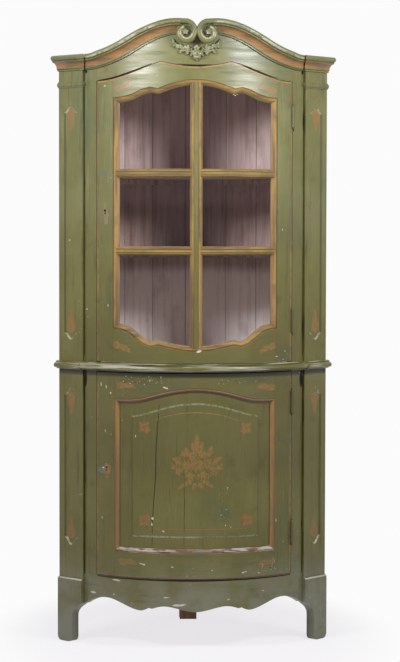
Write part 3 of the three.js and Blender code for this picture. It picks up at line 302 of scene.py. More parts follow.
def old_green(recipe, along):
    """Colour, roughness and height of the old green coat, shared by everything painted over it."""
    paint, wear, _ = settings()
    fibre = grain(recipe, along)
    across, _, up = recipe.axes()
    drift = recipe.patches(2.7, 5, 0.53, 0.66, 0.7, recipe.stretched(1, 1, 0.55))
    streaks = recipe.noise(52.0, 5, fibre, 0.65)
    places = rubbed_places(recipe)
    # The coat is darker towards the bottom and over the middle heights, more on the doors and stiles than on the
    # pilasters.
    outer = recipe.ramp(recipe.math("ABSOLUTE", across), 0.4, 0.415, 0.21, 0.05)
    doors = recipe.least(recipe.ramp(up, 0.56, 0.7), recipe.ramp(up, 1.46, 1.72, 1, 0))
    dirt = recipe.plus(recipe.ramp(up, 0.75, 1.3, 0.12, 0), recipe.ramp(up, 1.1, 2.05, 0.15, 0))
    colour = recipe.mix(recipe.patches(4.2, 4, 0.38, 0.64), paint.green, paint.green_worn)
    for share, over in (
        (recipe.times(drift, recipe.patches(60.0, 4, 0.38, 0.6, 1, fibre)), paint.green_blue),
        (recipe.patches(170.0, 3, 0.54, 0.74, 0.45, fibre), scaled(paint.green_worn, 1.3)),
        (recipe.patches(21.0, 5, 0.58, 0.72, 0.42, fibre), paint.ground),
        (recipe.ramp(streaks, 0.55, 0.74, 0, 0.62), paint.grime),
        (recipe.patches(13.0, 6, 0.58, 0.76, 0.4), paint.grime),
        (recipe.times(places, recipe.patches(30.0, 6, 0.44, 0.56, 0.7, grain(recipe, "X"))), paint.bared),
        (recipe.plus(dirt, recipe.times(outer, doors)), paint.grime),
    ):
        colour = recipe.mix(share, colour, over)
    yellowed = recipe.node("VectorMath", colour, (1.0, 0.95, 0.66), operation="MULTIPLY").outputs[0]
    colour = recipe.mix(recipe.ramp(up, 1.3, 1.75, 1, 0), colour, yellowed)
    # Painted shadow: a near-black band just under the waist moulding.
    painted_shadow_under_waist = recipe.least(recipe.ramp(up, 0.997, 1.008, 0, 0.88), recipe.ramp(up, 1.019, 1.022, 1, 0))
    colour = recipe.mix(painted_shadow_under_waist, colour, (0.016, 0.013, 0.008))
    low = recipe.minus(1.0, recipe.ramp(up, 0.12, 0.38))
    bloom = recipe.times(low, recipe.ramp(recipe.noise(9.0, 4), 0.3, 0.62, 0.15, 0.72))
    colour = recipe.mix(bloom, colour, paint.dust)
    field = recipe.most(places, recipe.patches(2.3, 2, 0.56, 0.66))
    speck = recipe.patches(88.0, 3, 0.705, 0.73, 1, recipe.stretched(0.75, 0.75, 1.2))
    chipped = recipe.times(recipe.times(speck, field), wear.chips)
    colour = recipe.mix(chipped, colour, paint.primer)
    height = recipe.minus(recipe.noise(120.0, 4, fibre), recipe.times(chipped, 1.5))
    return colour, recipe.ramp(streaks, 0.3, 0.75, 0.28, 0.52), height


def green_coat(name, along, share=1.0):
    """The plain coat, darker where the share is under one."""
    recipe = Recipe(name)
    colour, roughness, height = old_green(recipe, along)
    if share < 1:
        colour = recipe.mix(1 - share, colour, settings()[0].grime)
    return recipe.finish(colour, roughness, height, 0.0005, 0.55)


def streaked_coat(name, pale):
    """Green with long pale streaks along a moulding: paint that hands and cloths have rubbed, and painted highlight."""
    recipe = Recipe(name)
    colour, roughness, height = old_green(recipe, "X")
    streak = recipe.patches(120.0, 3, 0.47, 0.62, 0.85, recipe.stretched(0.045, 0.045, 1))
    return recipe.finish(recipe.mix(streak, colour, pale), roughness, height, 0.0004, 0.5)


def chipped_lining(name, bright, dull):
    """Red ochre at the middle of the lower moulding, worn to a pinkish primer towards its ends."""
    recipe = Recipe(name)
    _, roughness, height = old_green(recipe, "X")
    laid = recipe.mix(recipe.patches(95.0, 4, 0.42, 0.62, 1, recipe.stretched(0.1, 0.1, 1)), bright, dull)
    ends = recipe.ramp(recipe.math("ABSOLUTE", recipe.axes()[0]), 0.03, 0.15, 0.3, 1)
    bare = recipe.patches(150.0, 5, 0.44, 0.53, 1, recipe.stretched(0.14, 0.14, 1))
    laid = recipe.mix(recipe.times(ends, bare), laid, (0.5, 0.42, 0.37))
    return recipe.finish(laid, roughness, height, 0.0004, 0.5)


def over_green(name, bright, dull, worn=(0.55, 0.72), along="Z", cover=0.85, gloss=0.42):
    """A decorator's colour laid over the green, rubbed through in places."""
    recipe = Recipe(name)
    colour, roughness, height = old_green(recipe, along)
    laid = recipe.mix(recipe.patches(60.0, 4, 0.4, 0.66, 1, grain(recipe, along)), bright, dull)
    laid = recipe.mix(recipe.patches(14.0, 4, 0.45, 0.7, 0.6), laid, dull)
    rubbed = recipe.patches(85.0, 4, *worn, cover, recipe.stretched(1, 1, 0.4))
    colour = recipe.mix(rubbed, laid, colour)
    return recipe.finish(colour, 0.6 if gloss < 0.3 else roughness, height, 0.0004, 0.5, gloss)


def painted_ornament(name, along):
    """Faded flowers: the piece's own attributes say where paint was laid and in which colour."""
    recipe = Recipe(name)
    colour, roughness, height = old_green(recipe, along)
    laid, tone = (recipe.node("Attribute", attribute_name=key).outputs["Fac"] for key in ("laid", "tone"))
    kept = recipe.ramp(recipe.noise(210.0, 4, recipe.stretched(1, 1, 0.6)), 0.36, 0.55, 0.22, 1)
    share = recipe.times(recipe.times(laid, kept), 0.7)
    bright = recipe.mix(tone, (0.32, 0.13, 0.045), (0.35, 0.215, 0.06))
    return recipe.finish(recipe.mix(share, colour, bright), roughness, height, 0.0004, 0.5)


def whitewash(name, kind="wall", shelf_bare=0.0):
    """Wash over red-brown wood, thick low down and thin on the middle boards; walls show their joints."""
    paint, _, _ = settings()
    recipe = Recipe(name)
    fibre = recipe.stretched(0.07, 1, 1) if kind == "shelf" else grain(recipe, "Z")
    x, y, z = recipe.axes()
    streaks = recipe.noise(34.0, 5, fibre, 0.68)
    bare = shelf_bare
    if kind != "shelf":
        bare = recipe.least(recipe.ramp(z, 1.36, 1.41, 0.0, 0.52), recipe.ramp(z, 1.61, 1.67, 0.52, 0.24))
    bare = recipe.plus(bare, recipe.ramp(streaks, 0.36, 0.72, -0.12, 0.24))
    limed = recipe.mix(recipe.ramp(z, 1.34, 1.42), (0.92, 0.82, 0.79), paint.wash)
    colour = recipe.mix(recipe.patches(9.0, 5, 0.52, 0.75, 0.3), limed, paint.board)
    if kind == "wall":
        face = PILASTER_MIDDLE[0] - PILASTER_MIDDLE[1]
        back = recipe.plus(recipe.minus(face, recipe.math("ABSOLUTE", x)), y)
        back = recipe.minus(recipe.times(back, math.sqrt(0.5)), PLANK_FRONT)
        number = recipe.math("FLOOR", recipe.math("DIVIDE", back, PLANK))
        chance = recipe.node("TexWhiteNoise", noise_dimensions="1D", W=number).outputs["Value"]
        bare = recipe.times(bare, recipe.ramp(chance, 0, 1, 0.8, 1.15))
    colour = recipe.mix(bare, colour, paint.board)
    if kind == "wall":
        seam = recipe.ramp(recipe.math("PINGPONG", back, PLANK / 2), 0.0008, 0.0026, 0.6, 0)
        colour = recipe.mix(seam, colour, (0.05, 0.028, 0.022))
    return recipe.finish(colour, 0.85, streaks, 0.0006, 0.6, 0.08)


def bare_pine(name, tone):
    recipe = Recipe(name)
    streaks = recipe.noise(38.0, 6, grain(recipe, "Z"), 0.68)
    colour = recipe.mix(recipe.ramp(streaks, 0.42, 0.7), tone, scaled(tone, 0.38))
    colour = recipe.mix(recipe.patches(4.0, 4, 0.5, 0.75, 0.4), colour, (0.16, 0.13, 0.1))
    return recipe.finish(colour, 0.78, streaks, 0.0008, 0.7)


def old_iron(name, tone):
    recipe = Recipe(name)
    colour = recipe.mix(recipe.patches(120.0, 5, 0.5, 0.72), tone, (0.13, 0.06, 0.03))
    return recipe.finish(colour, 0.55, recipe.noise(400.0, 3), 0.0003, 0.6, Metallic=0.7)


def old_glass(name):
    recipe = Recipe(name)
    tint = recipe.mix(recipe.patches(5.0, 3, 0.35, 0.65), (0.09, 0.105, 0.1), (0.125, 0.125, 0.11))
    return recipe.finish(tint, 0.05, recipe.noise(9.0, 2), 0.004, 0.25, 0.25, Alpha=0.05)


FINISHES = {}


def finish_named(name):
    """Each finish is mixed once and shared."""
    if name in FINISHES:
        return FINISHES[name]
    paint, _, _ = settings()
    pale = tuple(0.45 * g + 0.55 * p for g, p in zip(paint.green_worn, paint.primer))
    gilding = (paint.gilt, paint.gilt_dull, (0.62, 0.78))
    matt = (0.85, 0.22)
    mixer, *details = {
        "green upright": (green_coat, "green paint upright", "Z"),
        "green level": (green_coat, "green paint level", "X"),
        "cornice": (green_coat, "green cornice paint", "X"),
        "shaded": (green_coat, "shaded green paint", "Z", 0.62),
        # Darker copy of the coat: dirt and painted shade in recesses, quirks and sunk grounds.
        "grimed": (green_coat, "grimed green paint", "Z", 0.38),
        "painted iron": (green_coat, "green paint on iron", "Z", 0.35),
        # The waist moulding's pale streaks are rubbed paint and painted highlight.
        "waist": (streaked_coat, "rubbed waist moulding", pale),
        "chipped": (chipped_lining, "chipped lining", paint.rust, paint.gilt_dull),
        # Pale cream coat on the carving, which also stands for its highlights as painted highlight.
        "carving": (over_green, "rubbed carving", (0.36, 0.36, 0.25), paint.green_worn, (0.4, 0.56), "X", 0.9),
        "bared": (over_green, "bared coat", paint.bared, scaled(paint.bared, 1.5), (0.55, 0.7)),
        "key wear": (over_green, "wear at the keyhole", (0.28, 0.195, 0.11), (0.21, 0.145, 0.085), (0.6, 0.75)),
        # Near black: dirt in joints and cracks, and painted shade in the gaps round the doors, hinge slots, keyholes
        # and the lower door's sight edges.
        "seam": (over_green, "dirt in a joint", (0.01, 0.01, 0.007), (0.018, 0.015, 0.009), (0.66, 0.8), "Z", 0.7, 0.1),
        # The pale chamfer on the feet is wear and painted highlight.
        "foot arris": (over_green, "bright foot arris", (0.58, 0.55, 0.45), pale, (0.58, 0.7), "X"),
        "dull line": (over_green, "darkened line", (0.225, 0.145, 0.105), paint.gilt_dull, (0.48, 0.62), "X"),
        # Pale worn edges: wear, and on the pilaster heads, field bevel, rolls and volute eye also painted highlight.
        "worn": (over_green, "rubbed arris", pale, paint.green_worn, (0.48, 0.64), "X"),
        # Light green on the upward bevel over the field: painted highlight, partly rubbed paint.
        "rubbed": (over_green, "rubbed green", (0.185, 0.205, 0.13), paint.green_worn, (0.44, 0.62), "X", 0.8, 0.2),
        "gilt": (over_green, "ochre gilding upright", *gilding, "Z", *matt),
        "gilt level": (over_green, "ochre gilding level", *gilding, "X", *matt),
        # Darker gilding for the inner half of the arched moulding on the door's top rail: painted shade.
        "dull gilt": (over_green, "darkened gilding", paint.gilt_dull, paint.green, (0.5, 0.66), "X", *matt),
        # Duller gilding on the inner half of the glazing mouldings and their edge at the glass: painted shade.
        "gilt_in_painted_shade": (over_green, "rubbed gilding", (0.27, 0.185, 0.11), (0.19, 0.125, 0.07), (0.62, 0.78), "Z", *matt),
        "gilt line": (over_green, "gilt line", paint.gilt, paint.orange, (0.5, 0.62), "X"),
        "orange line": (over_green, "orange line", (0.3, 0.165, 0.06), paint.rust, (0.46, 0.6)),
        "orange": (over_green, "orange hollow", (0.33, 0.165, 0.062), paint.gilt_dull, (0.58, 0.74), "X"),
        "rust": (over_green, "red ochre lining", paint.rust, paint.gilt_dull, (0.6, 0.75), "X"),
        "ochre side": (over_green, "ochre lining", (0.29, 0.155, 0.046), (0.205, 0.11, 0.048), (0.6, 0.75)),
        "primer": (over_green, "bare primer", paint.primer, scaled(paint.primer, 0.8), (0.8, 0.9)),
        "spray upright": (painted_ornament, "faded spray upright", "Z"),
        "spray level": (painted_ornament, "faded spray level", "X"),
        "whitewash": (whitewash, "whitewashed boards"),
        "inside": (whitewash, "whitewashed insides", "inside"),
        "shelf": (whitewash, "worn shelves", "shelf", 0.35),
        "pale shelf": (whitewash, "washed shelves", "shelf"),
        "pine": (bare_pine, "bare pine", paint.pine),
        "post": (bare_pine, "red pine post", (0.66, 0.36, 0.27)),
        "dusty": (bare_pine, "dusty pine", (0.21, 0.155, 0.115)),
        "iron": (old_iron, "wrought iron", paint.iron),
        "glass": (old_glass, "old window glass"),
    }[name]
    FINISHES[name] = mixer(*details)
    return FINISHES[name]


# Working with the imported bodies


def link_object(name, data):
    made = bpy.data.objects.new(name, data)
    bpy.context.scene.collection.objects.link(made)
    return made


def add_piece(name, mesh, finishes, body):
    piece = link_object(name, mesh)
    for finish in finishes:
        mesh.materials.append(finish_named(finish))
    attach(piece, body)
    return piece


def into_mesh(shape, name):
    mesh = bpy.data.meshes.new(name)
    shape.to_mesh(mesh)
    shape.free()
    return mesh


def crisp_mesh(shape, name, sharp):
    """Ends the modelling of a shape: edges over the angle stay crisp."""
    for edge in shape.edges:
        edge.smooth = len(edge.link_faces) == 2 and edge.calc_face_angle(0) < math.radians(sharp)
    return into_mesh(shape, name)


def radial(point):
    """Distance from the bow's axis and the outward direction there."""
    across = Vector((point.x, point.y - BOW_CENTRE, 0))
    return across.length, across.normalized()


def follow_bow(mesh):
    """Faces that follow the bow take its true direction, so that light runs evenly over them."""
    ways = [corner.vector.copy() for corner in mesh.corner_normals]
    for face in mesh.polygons:
        lean = face.normal.dot(radial(face.center)[1])
        if abs(lean) > 0.997:
            side = 1 if lean > 0 else -1
            for k in face.loop_indices:
                ways[k] = side * radial(mesh.vertices[mesh.loops[k].vertex_index].co)[1]
    mesh.normals_split_custom_set(ways)


def dress(node, finishes, choose):
    """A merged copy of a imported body, its faces sorted by finish, in the body's place."""
    shape = bmesh.new()
    shape.from_mesh(NODES[node].data)
    bmesh.ops.remove_doubles(shape, verts=shape.verts, dist=MERGED)
    bmesh.ops.dissolve_limit(shape, angle_limit=FLAT, verts=shape.verts, edges=shape.edges)
    for face in shape.faces:
        face.material_index = choose(face)
        face.smooth = True
    mesh = crisp_mesh(shape, "dressed_" + node, 30)
    follow_bow(mesh)
    piece = add_piece("dressed_" + node, mesh, finishes, BODY_OF[node])
    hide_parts(node)
    return piece


def facing(face):
    """How far a face looks outwards, and how deep its middle lies behind the front."""
    distance, out = radial(face.calc_center_median())
    return face.normal.dot(out), BOW_RADIUS - distance


def front_or_inside(face):
    """0 for what is painted, 1 for what faces into the cupboard."""
    return int(facing(face)[0] < -0.5)


def door_frame(face):
    """0 green, 1 inside, 2 moulding, 3 its edge at the glass, 4 the quirk outside it, 5 its inner half."""
    lean, depth = facing(face)
    if lean < -0.5:
        return 1
    if lean > 0.999 and depth < 0.0006:
        return 0
    if abs(lean) < 0.04:
        return 3 if GLASS_EDGE[0] < depth < GLASS_EDGE[1] else 0
    if INNER_HALF[0] < depth < INNER_HALF[1] and lean > 0:
        return 5
    if QUIRK[0] < depth < QUIRK[1] and lean < 0.8:
        return 4
    return 2 if lean > 0 else 0


def pilaster_faces(face):
    """0 green, 1 inside, 2 heads of the sunk panel, rubbed and made pale as painted highlight, 3 its sides, darkened
    with dirt and painted shade.
    """
    normal = face.normal
    side = 1 if face.calc_center_median().x > 0 else -1
    lean = (normal.x * side - normal.y) * math.sqrt(0.5)
    if lean < -0.5:
        return 1
    if 0.6 < lean < 0.8:
        return 2 if abs(normal.z) > 0.15 else 3
    return 0


def panel_faces(face):
    """0 green, 1 inside, 2 the bevel over the field, made light as painted highlight, 3 its sides in painted shade, 4
    the chipped bevel under it, pale with wear and painted highlight.
    """
    lean, depth = facing(face)
    if lean < -0.5:
        return 1
    if BEVEL[0] < depth < BEVEL[1] and lean < 0.97:
        return (2 if face.normal.z > 0 else 4) if abs(face.normal.z) > 0.2 else 3
    return 0


def foot_faces(face):
    """0 green, 1 the chamfer on top of the block, rubbed and made pale as painted highlight."""
    return int(0.2 < face.normal.z < 0.95 and face.calc_center_median().z > 0.2)


def wall_faces(face):
    """0 towards the inside, 1 towards the wall."""
    return int(face.normal.y > 0.3)


def shelf_faces(face):
    """As for the walls, and 2 for the top of the cupboard."""
    return 2 if face.normal.z > 0.5 and face.calc_center_median().z > 2.1 else wall_faces(face)


# Shapes of the front


def on_bow(across, proud, height):
    """A point on the bowed front, so far across along the chord and so far in front of it."""
    turn = math.asin(across / BOW_RADIUS)
    reach = BOW_RADIUS + proud
    return Vector((math.sin(turn) * reach, BOW_CENTRE - math.cos(turn) * reach, height))


def on_side(point, side):
    """A point of the right half, or its mirror image on the left."""
    return Vector((point.x * side, point.y, point.z))


def serpentine(rows, span, low, rise):
    """Height along half an outline, from its rows."""

    def height(across):
        at = min(abs(across) / span, 1.0)
        upper = next(k for k in range(1, len(rows)) if rows[k][0] >= at)
        (start, first, _, leave), (end, last, arrive, _) = rows[upper - 1], rows[upper]
        width = end - start
        t = (at - start) / width
        rest = 1 - t
        ends = first * rest * rest * (1 + 2 * t) + last * t * t * (3 - 2 * t)
        return low + rise * (ends + width * (leave * t * rest * rest - arrive * t * t * rest))

    return height


CREST = serpentine(CREST_ROWS, DOOR_HALF, CREST_LOW, CREST_RISE)
NECK = serpentine(NECK_ROWS, JOINT_X, CORNICE_TOP, NECK_RISE)


def direction(path, k):
    """Which way a path of across and height runs at one of its places."""
    before, after = path[max(k - 1, 0)], path[min(k + 1, len(path) - 1)]
    return Vector((after[0] - before[0], after[1] - before[1])).normalized()


def sweep(rings, shape, finish_of=None):
    """Bridge one closed ring of points to the next and fill both ends."""
    loops = []
    place_in_ring = {}
    for ring in rings:
        corners = [shape.verts.new(point) for point in ring]
        place_in_ring.update((corner, k) for k, corner in enumerate(corners))
        loops.append([shape.edges.new((corners[k - 1], corners[k])) for k in range(len(corners))])
    for first, second in zip(loops, loops[1:]):
        for face in bmesh.ops.bridge_loops(shape, edges=first + second)["faces"]:
            face.smooth = True
            if finish_of:
                face.material_index = finish_of({place_in_ring[corner] for corner in face.verts})
    for loop in (loops[0], loops[-1]):
        bmesh.ops.edgeloop_fill(shape, edges=loop)
    bmesh.ops.recalc_face_normals(shape, faces=shape.faces)


def carved(shape, name, grain_size, rounds=2):
    """Fuses overlapping lumps into one carved body, like a piece cut from one block."""
    block = link_object(name + "_blocked", into_mesh(shape, name + "_blocked"))
    chisel = block.modifiers.new("chisel", "REMESH")
    chisel.mode = "VOXEL"
    chisel.voxel_size = grain_size
    bpy.context.view_layer.update()
    shaped = bpy.data.meshes.new_from_object(block.evaluated_get(bpy.context.evaluated_depsgraph_get()))
    bpy.data.objects.remove(block)
    cut = bmesh.new()
    cut.from_mesh(shaped)
    for _ in range(rounds):
        bmesh.ops.smooth_vert(cut, verts=cut.verts, factor=0.5, use_axis_x=True, use_axis_y=True, use_axis_z=True)
    for face in cut.faces:
        face.smooth = True
    return cut


def lump(shape, across, height, long, wide, deep, tilt=0.0, proud=0.0, pinch=0.0, rib=0.0):
    """A bud or leaf on the frieze: a stretched ball, pinched towards its tip, with a sunk rib."""
    seat = on_bow(across, proud, height)
    spin = Matrix.Rotation(math.asin(across / BOW_RADIUS), 3, "Z") @ Matrix.Rotation(-tilt, 3, "Y")
    for corner in bmesh.ops.create_uvsphere(shape, u_segments=16, v_segments=12, radius=1)["verts"]:
        x, y, z = corner.co
        slim = 1 - pinch * max(0.0, x) ** 1.5
        sunk = 1 - rib * math.exp(-((z / 0.22) ** 2)) * (0.3 + 0.7 * min(1, abs(x) + 0.3))
        corner.co = spin @ Vector((x * long, y * deep * sunk * (1 - 0.35 * pinch * max(0, x)), z * wide * slim)) + seat


def flower(shape, across, height, radius, petals, proud, turn):
    """Petals round a boss."""
    for k in range(petals):
        angle = turn + 2 * math.pi * k / petals
        x, z = across + 0.58 * radius * math.cos(angle), height + 0.58 * radius * math.sin(angle)
        lump(shape, x, z, 0.52 * radius, 0.47 * radius, 0.0085, angle, proud, 0.1, 0.25)
    lump(shape, across, height, 0.34 * radius, 0.34 * radius, 0.0125, proud=proud + 0.001)


# Painted lines, flowers and wear, each a thin film on the wood


def on_pilaster(side):
    """Places on a pilaster's sunk panel: across from its middle, inwards positive."""

    def place(across, proud, height):
        turn = math.sqrt(0.5)
        x, y = PILASTER_MIDDLE
        proud -= PANEL_SUNK
        return Vector((side * (x + turn * (proud - across)), y - turn * (proud + across), height))

    return place


def on_piece(piece):
    """Places on a bowed piece, found by looking in from the front."""
    tree = BVHTree.FromObject(piece, bpy.context.evaluated_depsgraph_get())

    def place(across, proud, height):
        start = on_bow(across, 0.06, height)
        inward = (on_bow(across, -0.06, height) - start).normalized()
        hit = tree.ray_cast(start, inward, 0.12)[0]
        if hit is None:
            raise ValueError(f"nothing to paint on at {across}, {height}")
        return hit - inward * proud

    return place


def upright(across, low, high, step=0.05):
    count = max(2, round((high - low) / step))
    return [(across, low + (high - low) * k / count) for k in range(count + 1)]


def level(low, high, height, step=0.012):
    """A path across the front at a height, which may be a rule of the place across."""
    count = max(2, round((high - low) / step))
    places = [low + (high - low) * k / count for k in range(count + 1)]
    return [(place, height(place) if callable(height) else height) for place in places]


def film_line(shape, place, path, width, taper=0.0, index=0):
    """A painted line along a path of across and height."""
    film = settings()[1].film
    rings = []
    for k, (across, height) in enumerate(path):
        along = direction(path, k)
        half = width / 2 * (1 - taper * abs(2 * k / (len(path) - 1) - 1) ** 1.5)
        ring = [(-half, LINE_SINK), (half, LINE_SINK), (half, film), (-half, film)]
        rings.append([place(across - along.y * off, proud, height + along.x * off) for off, proud in ring])
    sweep(rings, shape, lambda places: index)


def chip(shape, place, across, height, long, tall, tilt, chance, lift):
    """A flake of lost paint with a ragged outline."""
    made = bmesh.ops.create_circle(shape, cap_ends=True, segments=11, radius=1)["verts"]
    for corner in made:
        corner.co *= chance.uniform(0.55, 1.15)
    top = bmesh.ops.extrude_face_region(shape, geom=made[0].link_faces[:])["geom"]
    raised = [part for part in top if isinstance(part, bmesh.types.BMVert)]
    for corner in made + raised:
        x, y = corner.co.x * long / 2, corner.co.y * tall / 2
        proud = settings()[1].film * lift if corner in raised else FLAKE_SINK
        turned = (x * math.cos(tilt) - y * math.sin(tilt), x * math.sin(tilt) + y * math.cos(tilt))
        corner.co = place(across + turned[0], proud, height + turned[1])


def lay_film(name, body, finishes, shape):
    """One painted piece out of all the lines or chips in a shape."""
    bmesh.ops.recalc_face_normals(shape, faces=shape.faces)
    return add_piece(name, crisp_mesh(shape, name, 60), finishes, body)


def lay_lines(name, body, finishes, place, lines):
    """Lines in one piece, from rows of path, width, taper and number of the finish."""
    shape = bmesh.new()
    for line in lines:
        film_line(shape, place, *line)
    lay_film(name, body, finishes, shape)


def lay_chips(name, body, finish, place, rows, chance, lift=1.5):
    """Flakes in one piece, from rows of across, height, length, breadth and tilt."""
    shape = bmesh.new()
    for row in rows:
        chip(shape, place, *row, chance, lift)
    lay_film(name, body, [finish], shape)


def stroke_cover(strokes, x, y):
    """How much paint the brush strokes leave at a place, and in which tone."""
    most, tone = 0.0, 0.0
    for x0, y0, x1, y1, width, colour in strokes:
        dx, dy = x1 - x0, y1 - y0
        if abs(x - x0) > abs(dx) + 2 * width or abs(y - y0) > abs(dy) + 2 * width:
            continue
        t = min(1.0, max(0.0, ((x - x0) * dx + (y - y0) * dy) / (dx * dx + dy * dy)))
        gap = math.hypot(x - x0 - t * dx, y - y0 - t * dy)
        reach = width * (0.35 + 0.65 * math.sin(math.pi * min(1, 0.15 + 0.8 * t)))
        cover = min(1.0, max(0.0, 1.5 - gap / reach))
        if cover > most:
            most, tone = cover, colour
    return most, tone


def painted_patch(name, place, middle, size, strokes, finish, body, step=0.0016):
    """A patch of the green coat that carries painted flowers, cut out round its strokes."""
    shape = bmesh.new()
    columns, rows = (max(2, round(length / step)) for length in size)
    bmesh.ops.create_grid(shape, x_segments=columns, y_segments=rows, size=0.5)
    for key in ("laid", "tone"):
        shape.verts.layers.float.new(key)
    laid, tone = (shape.verts.layers.float[key] for key in ("laid", "tone"))
    for corner in shape.verts:
        corner[laid], corner[tone] = stroke_cover(strokes, corner.co.x * size[0], corner.co.y * size[1])
    kept = {face for face in shape.faces if max(corner[laid] for corner in face.verts) > 0.02}
    grown = True
    while grown:
        grown = False
        for corner in shape.verts:
            mine = [face for face in corner.link_faces if face in kept]
            if len(mine) == 2 and not set(mine[0].edges) & set(mine[1].edges):
                kept.update(corner.link_faces)
                grown = True
    bmesh.ops.delete(shape, geom=[face for face in shape.faces if face not in kept], context="FACES")
    top = bmesh.ops.extrude_face_region(shape, geom=shape.faces[:])["geom"]
    raised = {part for part in top if isinstance(part, bmesh.types.BMVert)}
    for corner in shape.verts:
        proud = settings()[1].film if corner in raised else FLAKE_SINK
        corner.co = place(middle[0] + corner.co.x * size[0], proud, middle[1] + corner.co.y * size[1])
    for face in shape.faces:
        face.smooth = True
    lay_film(name, body, [finish], shape)


def stroke(x, y, angle, long, width, tone):
    """A brush stroke from a place: both ends, width and tone."""
    return (x, y, x + math.cos(angle) * long, y + math.sin(angle) * long, width, tone)


def blossom(x, y, radius, petals, tone, turn=0.0):
    """Petals round a bare middle."""
    strokes = []
    for k in range(petals):
        angle = turn + 2 * math.pi * k / petals
        dx, dy = math.cos(angle), math.sin(angle)
        inner = 0.35 * radius
        strokes.append((x + dx * inner, y + dy * inner, x + dx * radius, y + dy * radius, radius * 0.3, tone))
    return strokes


def branch(x, y, angle, length, bend, leaves, leaf):
    """A bent stalk with leaves to both sides."""
    strokes = []
    steps, tone = max(4, leaves), 0.4
    for k in range(steps):
        dx, dy = math.cos(angle) * length / steps, math.sin(angle) * length / steps
        strokes.append((x, y, x + dx, y + dy, 0.0011, tone))
        x, y = x + dx, y + dy
        size = leaf * (1 - 0.4 * k / steps)
        strokes += [stroke(x, y, angle + side * 0.85, size, size * 0.24, (k + 1) % 2 * 0.8) for side in (-1, 1)]
        angle += bend / steps
    return strokes + [stroke(x, y, angle, leaf, leaf * 0.26, tone)]


def corner_sprig(side, up):
    """A small flower with two leaves, for the corners of the field."""
    strokes = blossom(0, 0, 0.022, 4, 0.15, math.pi / 4) + blossom(0, 0, 0.017, 4, 0.0)
    for angle in (0.45, 1.1):
        dx, dy = -side * math.cos(angle), -up * math.sin(angle)
        strokes.append((dx * 0.016, dy * 0.016, dx * 0.027, dy * 0.027, 0.004, 0.1))
    return strokes


def rail_sprig(side, tilt):
    """A scroll of leaves lying along a rail, turned with the moulding beside it."""
    strokes = blossom(side * 0.017, 0.001, 0.01, 5, 0.2, 0.4)
    for x0, y0, x1, y1, width in (
        (0.012, -0.002, -0.03, -0.004, 0.0036), (0.008, 0.003, -0.016, 0.008, 0.004),
        (-0.004, -0.003, -0.026, 0.003, 0.0042), (0.024, -0.005, 0.004, -0.008, 0.0034),
        (0.026, 0.004, 0.01, 0.009, 0.003),
    ):
        strokes.append((side * x0, y0, side * x1, y1, width, 0.3))
    c, s = 1.2 * math.cos(tilt), 1.2 * math.sin(tilt)
    return [
        (c * x0 - s * y0, s * x0 + c * y0, c * x1 - s * y1, s * x1 + c * y1, 1.3 * width, tone)
        for x0, y0, x1, y1, width, tone in strokes
    ]


def flame(up):
    """A tapering bud for the ends of the pilasters' panels."""
    return [
        (0, up * 0.022, 0, up * (0.022 - 0.068), 0.0125, 0),
        (-0.014, up * 0.022, -0.014 * 0.3, up * (0.022 - 0.048), 0.0095, 0.15),
        (0.014, up * 0.022, 0.014 * 0.3, up * (0.022 - 0.044), 0.0095, 0.15),
        (-0.018, up * 0.012, 0.0, up * 0.032, 0.007, 0.3), (0.018, up * 0.012, 0.0, up * 0.032, 0.007, 0.3),
    ]


# Operators


class CUPBOARD_OT_case(bpy.types.Operator):
    """Paint the case: pilasters, stiles, feet, apron, frieze and waist moulding"""

    bl_idname = "cupboard.case"
    bl_label = "Paint the case"

    def execute(self, context):
        for stage in ("upper", "lower"):
            for _, side in SIDES:
                dress(f"{stage}_stile_{side}", ["green upright", "inside"], front_or_inside)
                dress(f"{stage}_pilaster_{side}", ["green upright", "inside", "worn", "grimed"], pilaster_faces)
        for _, side in SIDES:
            dress(f"foot_{side}", ["green upright", "foot arris"], foot_faces)
        for node, coat in (("apron_rail", "green level"), ("frieze_board", "green level"), ("waist_moulding", "waist")):
            dress(node, [coat, "inside"], front_or_inside)
        return {"FINISHED"}


class CUPBOARD_OT_inside(bpy.types.Operator):
    """Whitewash the wall boards and shelves and leave their backs bare"""

    bl_idname = "cupboard.inside"
    bl_label = "Whitewash the inside"

    def execute(self, context):
        for node in NODES:
            if "_back_" in node or node == "upper_corner_board":
                dress(node, ["whitewash", "pine"], wall_faces)
            elif "shelf" in node or "board" in node and "frieze" not in node:
                coat = "shelf" if node in ("upper_shelf_low", "upper_top_board") else "pale shelf"
                dress(node, [coat, "pine", "dusty"], shelf_faces)
            elif node == "rear_post":
                NODES[node].data.materials[0] = finish_named("post")
        return {"FINISHED"}


